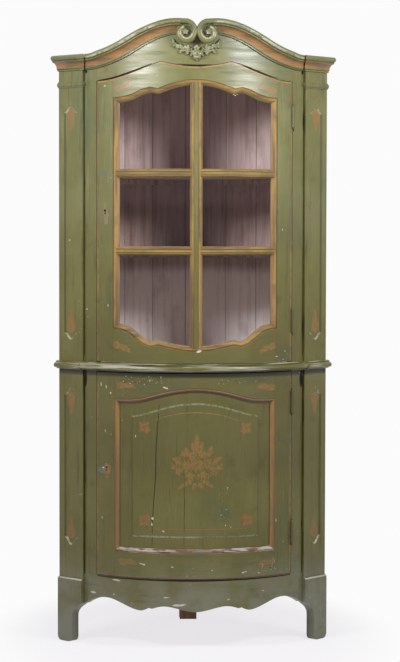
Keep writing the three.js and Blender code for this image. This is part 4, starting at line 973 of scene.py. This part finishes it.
class CUPBOARD_OT_doors(bpy.types.Operator):
    """Paint both doors and gild their mouldings"""

    bl_idname = "cupboard.doors"
    bl_label = "Paint the doors"

    def execute(self, context):
        # Finishes of the moulding, its edge at the glass, the quirk and the inner half. On the upper door and bars the
        # duller inner half and glass edge are painted shade, and the quirk is darkened with dirt and painted shade; on
        # the lower door the near-black edge is painted shade.
        linings = {
            "upper_door_stile": ("gilt", "gilt_in_painted_shade", "grimed", "gilt_in_painted_shade"),
            "upper_door_top_rail": ("gilt level", "rust", "grimed", "dull gilt"),
            "upper_door_bottom_rail": ("gilt level", "gilt_in_painted_shade", "grimed", "gilt_in_painted_shade"),
            "lower_door_stile": ("ochre side", "seam", "ochre side", "ochre side"),
            "lower_door_top_rail": ("rust", "seam", "rust", "rust"),
            "lower_door_bottom_rail": ("chipped", "chipped", "rust", "chipped"),
            "glazing_bar_upright": ("gilt", "gilt_in_painted_shade", "green upright", "gilt_in_painted_shade"),
            "glazing_bar": ("gilt level", "gilt_in_painted_shade", "green level", "gilt_in_painted_shade"),
        }
        for node in NODES:
            key = next((key for key in linings if node.startswith(key)), None)
            if key:
                coat = "green upright" if "stile" in node or "upright" in node else "green level"
                dress(node, [coat, "inside", *linings[key]], door_frame)
        dress("lower_door_panel", ["green upright", "inside", "rubbed", "shaded", "worn"], panel_faces)
        return {"FINISHED"}


class CUPBOARD_OT_cornice(bpy.types.Operator):
    """Shape the swan necks with their volutes and pick out the hollow in orange"""

    bl_idname = "cupboard.cornice"
    bl_label = "Shape the cornice"

    def execute(self, context):
        for side, name in SIDES:
            self.make_neck(side, name)
            end = dress(f"cornice_return_{name}", ["cornice", "orange"], self.return_finish)
            self.cut_straight_back(end.data, side)
        return {"FINISHED"}

    def section_finish(self, places):
        """0 green, 1 orange hollow, 2 dirt and painted shade between the members, 3 the roll, rubbed and made pale as
        painted highlight.
        """
        low, high = min(places), max(places)
        if high - low > 1:
            return 0
        if low >= HOLLOW[0] and high <= HOLLOW[1]:
            return 1
        return 2 if low in QUIRKS else 3 if low in ROLL else 0

    def return_finish(self, face):
        down = (CORNICE_TOP - face.calc_center_median().z) / CORNICE_HEIGHT
        return int(0.45 < down < 0.82 and face.normal.y < 0.2 and face.normal.z < -0.2)

    def make_neck(self, side, name):
        """The raking cornice, trimmed towards its end so that it stops in one plane."""
        rings = []
        for k in range(NECK_STEPS + 1):
            across = NECK_START + (JOINT_X - JOINT_GAP - NECK_START) * k / NECK_STEPS
            slope = (NECK(across + 0.001) - NECK(across - 0.001)) / 0.002
            long = math.hypot(1, slope)
            near_end = max(0.0, (k - NECK_STEPS + NECK_TRIMMED) / NECK_TRIMMED)
            near_end *= near_end * (3 - 2 * near_end)
            ring = []
            for out, down in CORNICE_ROWS:
                out, down = out * CORNICE_PROUD + NECK_LIFT, down * CORNICE_HEIGHT
                if k == NECK_STEPS:
                    point = on_bow(across, NECK_LIFT, CORNICE_TOP - down) + Vector((0, -out * math.sqrt(2), 0))
                else:
                    trimmed = across * (1 - near_end * out / (BOW_RADIUS + out))
                    point = on_bow(trimmed + slope * down / long, out, NECK(across) - down / long)
                ring.append(on_side(point, side))
            rings.append(ring)
        shape = bmesh.new()
        sweep(rings, shape, self.section_finish)
        shape.from_mesh(self.volute(side))
        moulded = f"swan_neck_moulded_{name}"
        coats = ["cornice", "orange", "grimed", "worn"]
        neck = add_piece(moulded, crisp_mesh(shape, moulded, 50), coats, "cabinet")
        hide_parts(f"swan_neck_{name}")

    def cut_straight_back(self, mesh, side):
        """The return runs on to a cut that looks straight back, where the neck butts against it."""
        joint = on_bow(JOINT_X, 0, 0)
        for corner in mesh.vertices:
            out, back = corner.co.x * side - joint.x, corner.co.y - joint.y
            if abs(out + back) < 0.002:
                corner.co.x = side * (joint.x + (out + back) / 2)
                corner.co.y = joint.y + (3 * back - out) / 2

    def roll_path(self):
        """Across, height and thickness of the roll, out of the neck and once round the eye."""
        turns = 30
        path = [(0.085, NECK(0.085) - 0.0095, 0.0095), (0.07, NECK(0.07) - 0.0095, 0.0096)]
        for k in range(turns + 1):
            share = k / turns
            angle = math.radians(80 - 335 * share)
            reach = 0.0395 - 0.011 * min(1, share * 3.2) - 0.0115 * max(0, share - 0.42) / 0.58
            squash = 1.0 + 0.1 * max(0, -math.sin(angle))
            thick = 0.0095 - 0.0012 * math.sin(math.pi * min(1, share * 2.4)) + 0.0018 * math.sin(math.pi * share)
            across = VOLUTE_ACROSS - reach * math.cos(angle)
            path.append((across, VOLUTE_HEIGHT + reach * squash * math.sin(angle), thick))
        return path

    def volute(self, side):
        """The roll of the moulding winds once round a sunk ground and ends at a rosette."""
        block = bmesh.new()
        rings = []
        path = self.roll_path()
        for k, (across, height, thick) in enumerate(path):
            along = direction(path, k)
            proud = 0.0286 + 0.0042 * max(0.0, 1 - k / 9)
            ring = []
            for i in range(12):
                angle = 2 * math.pi * i / 12
                off = thick * math.cos(angle)
                point = on_bow(across - along.y * off, proud + thick * 1.1 * math.sin(angle), height + along.x * off)
                ring.append(on_side(point, side))
            rings.append(ring)
        sweep(rings, block)
        turned = Matrix.Rotation(math.asin(VOLUTE_ACROSS / BOW_RADIUS), 3, "Z")
        spin = turned @ Matrix.Rotation(math.radians(90), 3, "X")
        for inwards, up, radius in ((0, 0, 0.031), (0.0035, 0.0095, 0.0285)):
            seat = on_bow(VOLUTE_ACROSS + inwards, 0.0105, VOLUTE_HEIGHT + up)
            disc = bmesh.ops.create_cone(block, cap_ends=True, segments=48, radius1=radius, radius2=radius, depth=0.024)
            for corner in disc["verts"]:
                corner.co = on_side(spin @ corner.co + seat, side)
        eye_across, eye_height = VOLUTE_ACROSS + 0.0015, VOLUTE_HEIGHT + 0.0015
        for k in range(5):
            angle = math.radians(90 + 72 * k)
            lump(
                block, side * (eye_across + 0.0068 * math.cos(angle)), eye_height + 0.0068 * math.sin(angle),
                0.0062, 0.0048, 0.009, angle if side > 0 else math.pi - angle, 0.0285, 0.1, 0.25,
            )
        lump(block, side * eye_across, eye_height, 0.005, 0.005, 0.012, proud=0.028)
        bmesh.ops.recalc_face_normals(block, faces=block.faces)
        cut = carved(block, "volute", 0.0013)
        for face in cut.faces:
            middle = face.calc_center_median()
            proud = radial(middle)[0] - BOW_RADIUS
            away = math.hypot(abs(middle.x) - VOLUTE_ACROSS, middle.z - VOLUTE_HEIGHT)
            # The sunk ground round the eye is darkened as dirt and painted shade; the roll's inner edge and the eye's
            # front are made pale as wear and painted highlight.
            sunk = away < 0.024 and proud < 0.0285
            rubbed = proud > 0.0335 and (away < 0.01 or 0.0185 < away < 0.0252)
            face.material_index = 2 if sunk else 3 if rubbed else 0
        return into_mesh(cut, "volute_cut")


class CUPBOARD_OT_festoon(bpy.types.Operator):
    """Carve the garland of buds and leaves that hangs under the volutes"""

    bl_idname = "cupboard.festoon"
    bl_label = "Carve the festoon"

    def execute(self, context):
        block = bmesh.new()
        for k in range(-7, 8):
            share = k / 7
            lump(block, 0.074 * share, 2.178 + 0.03 * share * share, 0.0068, 0.006, 0.0085, proud=0.002)
        for across, height, radius, petals, turn in (
            (-0.0655, 2.197, 0.0095, 5, 0.4), (-0.0425, 2.1885, 0.0125, 5, 0.2), (-0.022, 2.184, 0.009, 4, 0.9),
            (-0.0005, 2.192, 0.0115, 5, 1.57), (0.0235, 2.185, 0.009, 4, 0.2), (0.048, 2.189, 0.0135, 5, 0.7),
            (0.067, 2.2, 0.0085, 5, 0.0),
        ):
            flower(block, across, height, radius, petals, 0.004, turn)
        flower(block, 0.001, 2.1675, 0.017, 5, 0.008, 1.57)
        for across, height, long, wide, tilt in (
            (-0.081, 2.214, 0.015, 0.0064, 1.9), (-0.08, 2.201, 0.011, 0.0054, 3.6),
            (-0.056, 2.18, 0.012, 0.0062, 4.2), (-0.034, 2.175, 0.011, 0.0058, 4.5),
            (-0.055, 2.201, 0.011, 0.0056, 2.2), (-0.031, 2.197, 0.011, 0.0056, 1.9),
            (0.079, 2.212, 0.017, 0.0064, 1.15), (0.076, 2.197, 0.012, 0.0052, -0.5),
            (0.062, 2.18, 0.012, 0.006, -1), (0.036, 2.175, 0.012, 0.006, -1.4),
            (0.034, 2.198, 0.011, 0.0056, 1.2), (0.058, 2.203, 0.011, 0.0056, 0.8),
            (-0.016, 2.17, 0.012, 0.006, 4), (0.018, 2.17, 0.012, 0.006, -0.9),
            (0.001, 2.151, 0.009, 0.006, -1.57),
        ):
            lump(block, across, height, long, wide, 0.008, tilt, 0.003, 0.75, 0.35)
        shape = carved(block, "festoon", 0.001, 1)
        # Faces close to the frieze take the darker coat: dirt and painted shade where the carving meets the board.
        for face in shape.faces:
            face.material_index = int(radial(face.calc_center_median())[0] - BOW_RADIUS < 0.0055)
        mesh = crisp_mesh(shape, "festoon_carving", 80)
        carving = add_piece("festoon_carving", mesh, ["carving", "grimed"], "cabinet")
        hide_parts("festoon")
        return {"FINISHED"}


class CUPBOARD_OT_lines(bpy.types.Operator):
    """Draw the gilt and orange lines round the doors and the field"""

    bl_idname = "cupboard.lines"
    bl_label = "Draw the lines"

    def execute(self, context):
        low, high = LOWER_DOOR
        foot, head = UPPER_DOOR_FOOT + 0.004, CREST_LOW - 0.004
        field = on_piece(bpy.data.objects["dressed_lower_door_panel"])
        lay_lines("upper_door_gilt_lines", "upper_door", ["gilt line", "orange line"], on_bow, (
            (level(-0.354, 0.354, lambda x: CREST(x) - 0.0032), 0.005),
            (upright(-0.3555, foot, head), 0.005, 0, 1),
            (upright(0.3552, foot, head), 0.0055, 0, 1),
        ))
        lay_lines("lower_door_orange_lines", "lower_door", ["orange line", "dull line"], on_bow, (
            (upright(-0.3555, low + 0.004, high - 0.03), 0.0055),
            (upright(0.3552, low + 0.004, high - 0.03), 0.0055),
            (level(-0.352, 0.352, low + 0.0035), 0.006, 0, 1),
        ))
        lay_lines("field_gilt_lines", "lower_door", ["gilt line"], field, (
            (level(-0.15, 0.158, lambda x: 0.8755 - 1.15 * x * x - 6.0 * x ** 4), 0.0022, 0.5),
            (level(-0.17, 0.176, 0.4485), 0.0022, 0.5),
        ))
        return {"FINISHED"}


class CUPBOARD_OT_flowers(bpy.types.Operator):
    """Paint the faded spray on the lower door and the sprigs round it"""

    bl_idname = "cupboard.flowers"
    bl_label = "Paint the flowers"

    def execute(self, context):
        field = on_piece(bpy.data.objects["dressed_lower_door_panel"])
        middle, size = (0.004, 0.692), (0.205, 0.222)
        painted_patch("painted_spray", field, middle, size, self.spray(), "spray upright", "lower_door")
        for name, side, up, middle in (
            ("upper_left", -1, 1, (-0.189, 0.821)), ("upper_right", 1, 1, (0.188, 0.817)),
            ("lower_left", -1, -1, (-0.189, 0.477)), ("lower_right", 1, -1, (0.193, 0.477)),
        ):
            strokes = corner_sprig(side, up)
            painted_patch(
                "painted_corner_" + name, field, middle, (0.056, 0.06), strokes, "spray upright", "lower_door", 0.0012
            )
        for name, side, middle, tilt in (
            ("upper_door_top_left", -1, (-0.262, 2.058), 0.35), ("upper_door_top_right", 1, (0.266, 2.05), -0.3),
            ("upper_door_bottom_left", -1, (-0.27, 1.111), -0.4), ("upper_door_bottom_right", 1, (0.266, 1.106), 0.4),
            ("lower_door_top_left", -1, (-0.255, 0.97), 0), ("lower_door_top_right", 1, (0.262, 0.964), -0.1),
            ("lower_door_bottom_left", -1, (-0.249, 0.323), 0), ("lower_door_bottom_right", 1, (0.268, 0.317), 0.1),
        ):
            strokes = rail_sprig(side, tilt)
            painted_patch(
                "painted_sprig_" + name, on_bow, middle, (0.088, 0.05), strokes, "spray level", name[:10], 0.0012
            )
        for side, name in SIDES:
            for stage, low, high in (("upper", 1.19, 1.955), ("lower", 0.42, 0.9)):
                for end, up, height in (("high", 1, high), ("low", -1, low)):
                    painted_patch(
                        f"painted_bud_{stage}_{name}_{end}", on_pilaster(side), (-0.003, height), (0.052, 0.1),
                        flame(up), "spray upright", "cabinet", 0.0013,
                    )
        return {"FINISHED"}

    def spray(self):
        """A full bunch: three tall buds on top, bent stalks below, and blossoms over small leaves."""
        strokes = [stroke(x, y, angle, long, width, 0.35) for x, y, long, angle, width in (
            (0, 0.044, 0.056, 1.57, 0.0105), (-0.01, 0.04, 0.034, 1.8, 0.0065),
            (0.012, 0.04, 0.036, 1.35, 0.0065), (0.044, 0.026, 0.034, 1.25, 0.0085),
            (-0.034, 0.03, 0.026, 1.85, 0.0075), (-0.046, 0.024, 0.022, 2, 0.0055),
            (-0.07, 0.008, 0.024, 2.75, 0.0055), (0.072, 0.01, 0.022, 0.4, 0.006),
            (0.076, -0.02, 0.018, -0.1, 0.005), (-0.074, -0.018, 0.02, 3.2, 0.005),
        )]
        for stalk in (
            (-0.012, -0.064, 3.45, 0.052, 0.35, 6, 0.0125), (0.014, -0.064, -0.3, 0.044, -0.4, 5, 0.0125),
            (-0.002, -0.07, 4.2, 0.024, 0.2, 3, 0.0105), (0.006, -0.07, -1, 0.024, 0.2, 3, 0.0105),
        ):
            strokes += branch(*stalk)
        for x, y, radius, petals, tone in (
            (-0.004, -0.008, 0.021, 8, 0.1), (-0.04, -0.01, 0.017, 7, 0.3), (0.04, -0.004, 0.018, 7, 0.1),
            (-0.018, 0.028, 0.015, 6, 0.4), (0.024, 0.03, 0.015, 6, 0.2), (-0.066, -0.03, 0.012, 5, 0.6),
            (0.066, -0.034, 0.013, 5, 0.0), (-0.024, -0.046, 0.014, 6, 0.5), (0.022, -0.044, 0.015, 6, 0.5),
            (0.07, 0.006, 0.01, 5, 0.2), (-0.066, 0.006, 0.01, 5, 0.4),
        ):
            strokes += blossom(x, y, radius, petals, tone, 0.3 * tone)
        chance = random.Random(9)
        for _ in range(230):
            turn, reach = chance.uniform(0, 2 * math.pi), math.sqrt(chance.uniform(0, 1))
            x, y = 0.09 * reach * math.cos(turn), -0.014 + 0.052 * reach * math.sin(turn)
            lean = math.atan2(y + 0.09, x) + chance.uniform(-0.9, 0.9)
            long = chance.uniform(0.005, 0.012)
            strokes.append(stroke(x, y, lean, long, chance.uniform(0.0011, 0.0022), chance.uniform(0, 1)))
        return strokes


class CUPBOARD_OT_age(bpy.types.Operator):
    """Darken the joints, paint shade into the gaps, crack the panel and flake the paint"""

    bl_idname = "cupboard.age"
    bl_label = "Cracks, joints and chips"

    def execute(self, context):
        field = on_piece(bpy.data.objects["dressed_lower_door_panel"])
        chance = random.Random(4)
        self.joints_and_painted_shade()
        lay_lines("panel_cracks", "lower_door", ["seam"], field, [(self.finer(path), *width) for path, *width in (
            (((-0.135, 0.905), (-0.137, 0.86), (-0.141, 0.811), (-0.145, 0.738), (-0.148, 0.628), (-0.155, 0.518),
              (-0.159, 0.45), (-0.161, 0.385)), 0.0026, 0.5),
            (((-0.041, 0.63), (-0.042, 0.557), (-0.0425, 0.46), (-0.043, 0.38)), 0.0017, 0.6),
        )])
        self.wear_round_key("upper", (-0.329, 1.6085), chance, (
            (-0.327, 1.598, 0.024, 0.052, "key wear"), (-0.329, 1.627, 0.008, 0.03, "key wear"),
            (-0.325, 1.57, 0.018, 0.03, "key wear"),
        ))
        self.wear_round_key("lower", (-0.3235, 0.6665), chance, (
            (-0.322, 0.655, 0.028, 0.078, "orange"), (-0.34, 0.655, 0.03, 0.042, "bared"),
            (-0.336, 0.664, 0.009, 0.005, "primer"),
        ))
        # Painted shade on the waist board's top, in the gap under the upper door.
        ledge = [(level(-0.356, 0.356, 0.023), 0.045)]
        lay_lines("painted_shade_under_upper_door", "cabinet", ["seam"], self.on_waist_board, ledge)
        joints = [(side * 0.3995, 2.119, 0.011, 0.018, 0) for side in (-1, 1)]
        lay_chips("dirt_at_cornice_joints", "cabinet", "seam", on_bow, joints, chance)
        self.flake(field, chance)
        return {"FINISHED"}

    def on_waist_board(self, across, proud, inset):
        top = max(corner[2] for corner in NODES["waist_board"].bound_box)
        return on_bow(across, -inset, top + proud)

    def joints_and_painted_shade(self):
        """Dark lines where boards meet and round the doors: dirt in the joints, and painted shade in the gaps at the
        crest and foot of the doors, the hinge slots and under the waist moulding. Rows give across, foot, head, width,
        taper and step.
        """
        lines = [(level(low, high, lambda x: CREST(x) + 0.0042), width, taper) for low, high, width, taper in (
            (-0.357, -0.16, 0.0074, 0.8), (-0.07, 0.06, 0.0056, 0.9), (0.15, 0.3, 0.006, 0.8),
        )]
        lines.append((level(-0.357, 0.357, 0.2615), 0.0062, 0.5))
        for across, low, high, width, taper, *step in (
            (-0.4042, 1.075, 2.12, 0.002, 0), (0.4042, 1.075, 2.12, 0.002, 0),
            (-0.4042, 0.262, 1, 0.0028, 0), (0.4042, 0.262, 1, 0.0022, 0),
            (-0.4035, 1.66, 1.76, 0.0042, 0.8), (-0.4035, 0.56, 0.72, 0.0046, 0.8),
            (-0.4005, 0.96, 1.016, 0.009, 0.7, 0.01), (0.3985, 0.955, 1.016, 0.013, 0.8, 0.01),
            (0.4035, 1.905, 1.975, 0.006, 0.6), (0.4035, 1.13, 1.225, 0.0056, 0.7),
            (0.4035, 0.42, 0.47, 0.0044, 0.7), (0.364, 1.9, 1.958, 0.0078, 0.6),
            (0.364, 1.15, 1.215, 0.0066, 0.6), (0.3615, 0.88, 0.955, 0.0044, 0.6),
            (0.3615, 0.425, 0.468, 0.0056, 0.6),
        ):
            lines.append((upright(across, low, high, *step), width, taper))
        lay_lines("joints_and_painted_shade", "cabinet", ["seam"], on_bow, lines)

    def finer(self, path):
        """A cracked line wanders a little between its places."""
        chance = random.Random(2)
        finer = []
        for (x0, z0), (x1, z1) in zip(path, path[1:]):
            for k in range(4):
                share = k / 4
                finer.append((x0 + (x1 - x0) * share + chance.uniform(-0.0007, 0.0007), z0 + (z1 - z0) * share))
        return finer + [path[-1]]

    def wear_round_key(self, stage, hole, chance, patches):
        """Rubbed patches under a keyhole, then the hole and its slot, darkened with dirt and painted shade."""
        name, body = stage + "_key_wear", stage + "_door"
        for k, (*row, finish) in enumerate(patches):
            lay_chips(f"{name}_{k}", body, finish, on_bow, [(*row, 0)], chance, 0.6 + 0.25 * k)
        lay_chips(name + "_hole", body, "seam", on_bow, [(*hole, 0.0095, 0.009, 0)], chance, 2)
        slot = (hole[0], hole[1] - 0.0105, 0.007, 0.0095, 0)
        lay_chips(name + "_slot", body, "seam", on_bow, [slot], chance, 2)

    def flake(self, field, chance):
        """Larger chips where the photograph has them, then fields of flecks."""
        for name, body, place, rows in (
            ("lower_door_chips", "lower_door", on_bow, (
                (-0.344, 0.972, 0.003, 0.016, 0.1), (-0.325, 0.963, 0.004, 0.012, 0.2),
                (-0.309, 0.941, 0.006, 0.007, 0), (-0.11, 0.965, 0.021, 0.007, -0.35),
                (-0.196, 0.319, 0.022, 0.005, -0.3), (-0.186, 0.317, 0.01, 0.006, 0.7),
                (-0.085, 0.311, 0.012, 0.004, 0), (0.178, 0.287, 0.024, 0.005, 0.25),
                (0.235, 0.281, 0.009, 0.005, 0), (-0.329, 0.801, 0.003, 0.01, 0), (0.3, 0.47, 0.003, 0.014, 0),
                (-0.34, 0.48, 0.003, 0.008, 0.2), (0.06, 0.299, 0.007, 0.004, 0), (-0.262, 0.986, 0.006, 0.004, 0),
            )),
            ("apron_chips", "cabinet", on_bow, (
                (-0.287, 0.252, 0.03, 0.006, -0.1), (-0.372, 0.197, 0.022, 0.008, -0.1),
                (-0.297, 0.199, 0.006, 0.006, 0), (-0.108, 0.199, 0.026, 0.005, 0),
                (-0.058, 0.171, 0.05, 0.011, 0.05), (0.12, 0.19, 0.014, 0.004, 0.2), (0.25, 0.214, 0.01, 0.004, 0),
            )),
            ("upper_door_chips", "upper_door", on_bow, (
                (0.011, 1.0985, 0.02, 0.009, 0.35), (-0.33, 2.062, 0.009, 0.005, 0.4), (0.3, 1.075, 0.01, 0.004, 0),
                (-0.318, 1.262, 0.003, 0.01, 0), (0.322, 1.54, 0.003, 0.009, 0),
            )),
            ("panel_chips", "lower_door", field, (
                (-0.158, 0.487, 0.008, 0.01, 0), (-0.16, 0.465, 0.005, 0.014, 0.1), (-0.118, 0.441, 0.009, 0.007, -0.6),
                (0.094, 0.5, 0.005, 0.005, 0), (0.11, 0.462, 0.004, 0.007, 0), (-0.22, 0.786, 0.004, 0.008, 0),
                (0.112, 0.52, 0.003, 0.007, 0), (0.13, 0.455, 0.005, 0.003, 0), (0.118, 0.6, 0.003, 0.007, 0),
            )),
        ):
            lay_chips(name, body, "primer", place, rows, chance)
        for name, place, finish, count, left, right, low, high, long, tall in (
            ("top_left", on_bow, "primer", 23, -0.285, -0.12, 0.975, 1.006, 0.005, 0.0016),
            ("top_right", on_bow, "primer", 8, 0.06, 0.19, 0.978, 0.998, 0.004, 0.0015),
            ("bottom_right", on_bow, "primer", 11, 0.2, 0.3, 0.285, 0.33, 0.0035, 0.0018),
            ("field_right", field, "worn", 17, 0.088, 0.128, 0.458, 0.64, 0.0014, 0.0036),
            ("field_left", field, "worn", 8, -0.185, -0.13, 0.44, 0.5, 0.0014, 0.0034),
        ):
            for coat in (finish, "seam"):
                flecks = ((
                    chance.uniform(left, right), chance.uniform(low, high), long * chance.uniform(0.6, 1.6),
                    tall * chance.uniform(0.7, 1.5), chance.uniform(-0.3, 0.3),
                ) for _ in range(count))
                lay_chips(f"flecks_{name}_{coat}", "lower_door", coat, place, flecks, chance)


class CUPBOARD_OT_fittings(bpy.types.Operator):
    """Give the panes, hinges and locks their finishes"""

    bl_idname = "cupboard.fittings"
    bl_label = "Glass and ironwork"

    def execute(self, context):
        for node in NODES:
            for word, finish in (("pane_", "glass"), ("hinge", "painted iron"), ("lock", "iron")):
                if word in node:
                    NODES[node].data.materials[0] = finish_named(finish)
        return {"FINISHED"}


class CUPBOARD_OT_stage(bpy.types.Operator):
    """Lay the pale floor, hang the soft lamps and set the camera"""

    bl_idname = "cupboard.stage"
    bl_label = "Floor, light and camera"

    def execute(self, context):
        scene = context.scene
        _, _, stage = settings()
        self.lay_floor(stage)
        self.light_world(scene, stage)
        self.hang_lamps(stage)
        self.set_camera(scene, stage)
        scene.view_settings.view_transform = "Standard"
        return {"FINISHED"}

    def lay_floor(self, stage):
        """The floor takes the cupboard's shadow nearby and fades into the paper further off."""
        shape = bmesh.new()
        bmesh.ops.create_circle(shape, cap_ends=True, segments=64, radius=30)
        floor = link_object("floor", into_mesh(shape, "floor"))
        recipe = Recipe("pale floor")
        bounce = recipe.node("BsdfDiffuse", (0.7, 0.7, 0.72)).outputs[0]
        shaded = recipe.node("BsdfDiffuse", (0.21, 0.21, 0.205)).outputs[0]
        lift = recipe.node("Emission", (0.765, 0.748, 0.772)).outputs[0]
        near = recipe.node("AddShader", shaded, lift).outputs[0]
        paper = recipe.node("Emission", stage.paper).outputs[0]
        away = recipe.node("VectorMath", recipe.stretched(1.5, 1, 1), operation="LENGTH").outputs["Value"]
        faded = recipe.node("MixShader", recipe.ramp(away, 0.7, 1.25), near, paper).outputs[0]
        recipe.node("OutputMaterial", recipe.node("MixShader", recipe.seen(), bounce, faded).outputs[0])
        floor.data.materials.append(recipe.material)

    def light_world(self, scene, stage):
        scene.world = bpy.data.worlds.new("studio")
        sky = Nodes(scene.world)
        fill = sky.node("Background", (0.93, 0.96, 1.0), stage.fill).outputs[0]
        white = sky.node("Background", stage.paper).outputs[0]
        sky.node("OutputWorld", sky.node("MixShader", sky.seen(), fill, white).outputs[0])

    def hang_lamps(self, stage):
        for side, name in SIDES:
            lamp = bpy.data.lights.new("soft_lamp_" + name, "AREA")
            lamp.shape = "RECTANGLE"
            lamp.size = 0.8
            lamp.size_y = 0.5
            lamp.spread = stage.lamp_spread
            lamp.energy = stage.lamp_power
            lamp.color = (0.955, 0.985, 1.0)
            holder = link_object(lamp.name, lamp)
            holder.location = (side * stage.lamp_across, -stage.lamp_ahead, stage.lamp_height)
            aim = Vector((0, -0.2, 1.8)) - holder.location
            holder.rotation_euler = aim.to_track_quat("-Z", "Y").to_euler()

    def set_camera(self, scene, stage):
        """The photograph's view, a little from the left and from above the middle."""
        camera = bpy.data.cameras.new("camera")
        camera.lens = stage.lens
        camera.sensor_width = 36
        camera.clip_end = 100
        holder = link_object("camera", camera)
        bearing, yaw, pitch, roll = (math.radians(a) for a in (2.49, 2.68, 2.8, 0.11))
        ahead = Vector((math.sin(yaw) * math.cos(pitch), math.cos(yaw) * math.cos(pitch), -math.sin(pitch)))
        right = ahead.cross(Vector((0, 0, 1))).normalized()
        across = right * math.cos(roll) + right.cross(ahead) * math.sin(roll)
        turn = Matrix((across, across.cross(ahead), -ahead)).transposed()
        axis, eye = -0.07947, 1.551
        place = Vector((-math.sin(bearing) * stage.distance, axis - math.cos(bearing) * stage.distance, eye))
        holder.matrix_world = Matrix.Translation(place) @ turn.to_4x4()
        scene.camera = holder


class CUPBOARD_PT_sidebar(bpy.types.Panel):
    """Lists the steps of the finish"""

    bl_label = "Corner cupboard"
    bl_idname = "CUPBOARD_PT_sidebar"
    bl_space_type = "VIEW_3D"
    bl_region_type = "UI"
    bl_category = "Cupboard"

    def draw(self, context):
        for step in STEPS:
            self.layout.operator(step.bl_idname)


STEPS = (
    CUPBOARD_OT_case,
    CUPBOARD_OT_inside,
    CUPBOARD_OT_doors,
    CUPBOARD_OT_cornice,
    CUPBOARD_OT_festoon,
    CUPBOARD_OT_lines,
    CUPBOARD_OT_flowers,
    CUPBOARD_OT_age,
    CUPBOARD_OT_fittings,
    CUPBOARD_OT_stage,
)
SETTINGS = {"cupboard_paint": PaintSettings, "cupboard_wear": WearSettings, "cupboard_stage": StageSettings}


def register():
    for kind in (*SETTINGS.values(), *STEPS, CUPBOARD_PT_sidebar):
        bpy.utils.register_class(kind)
    for name, kind in SETTINGS.items():
        setattr(bpy.types.Scene, name, PointerProperty(type=kind))


def unregister():
    for name in SETTINGS:
        delattr(bpy.types.Scene, name)
    for kind in (CUPBOARD_PT_sidebar, *reversed(STEPS), *SETTINGS.values()):
        bpy.utils.unregister_class(kind)


def main():
    register()
    for step in STEPS:
        group, name = step.bl_idname.split(".")
        getattr(getattr(bpy.ops, group), name)()


if __name__ == "__main__":
    main()
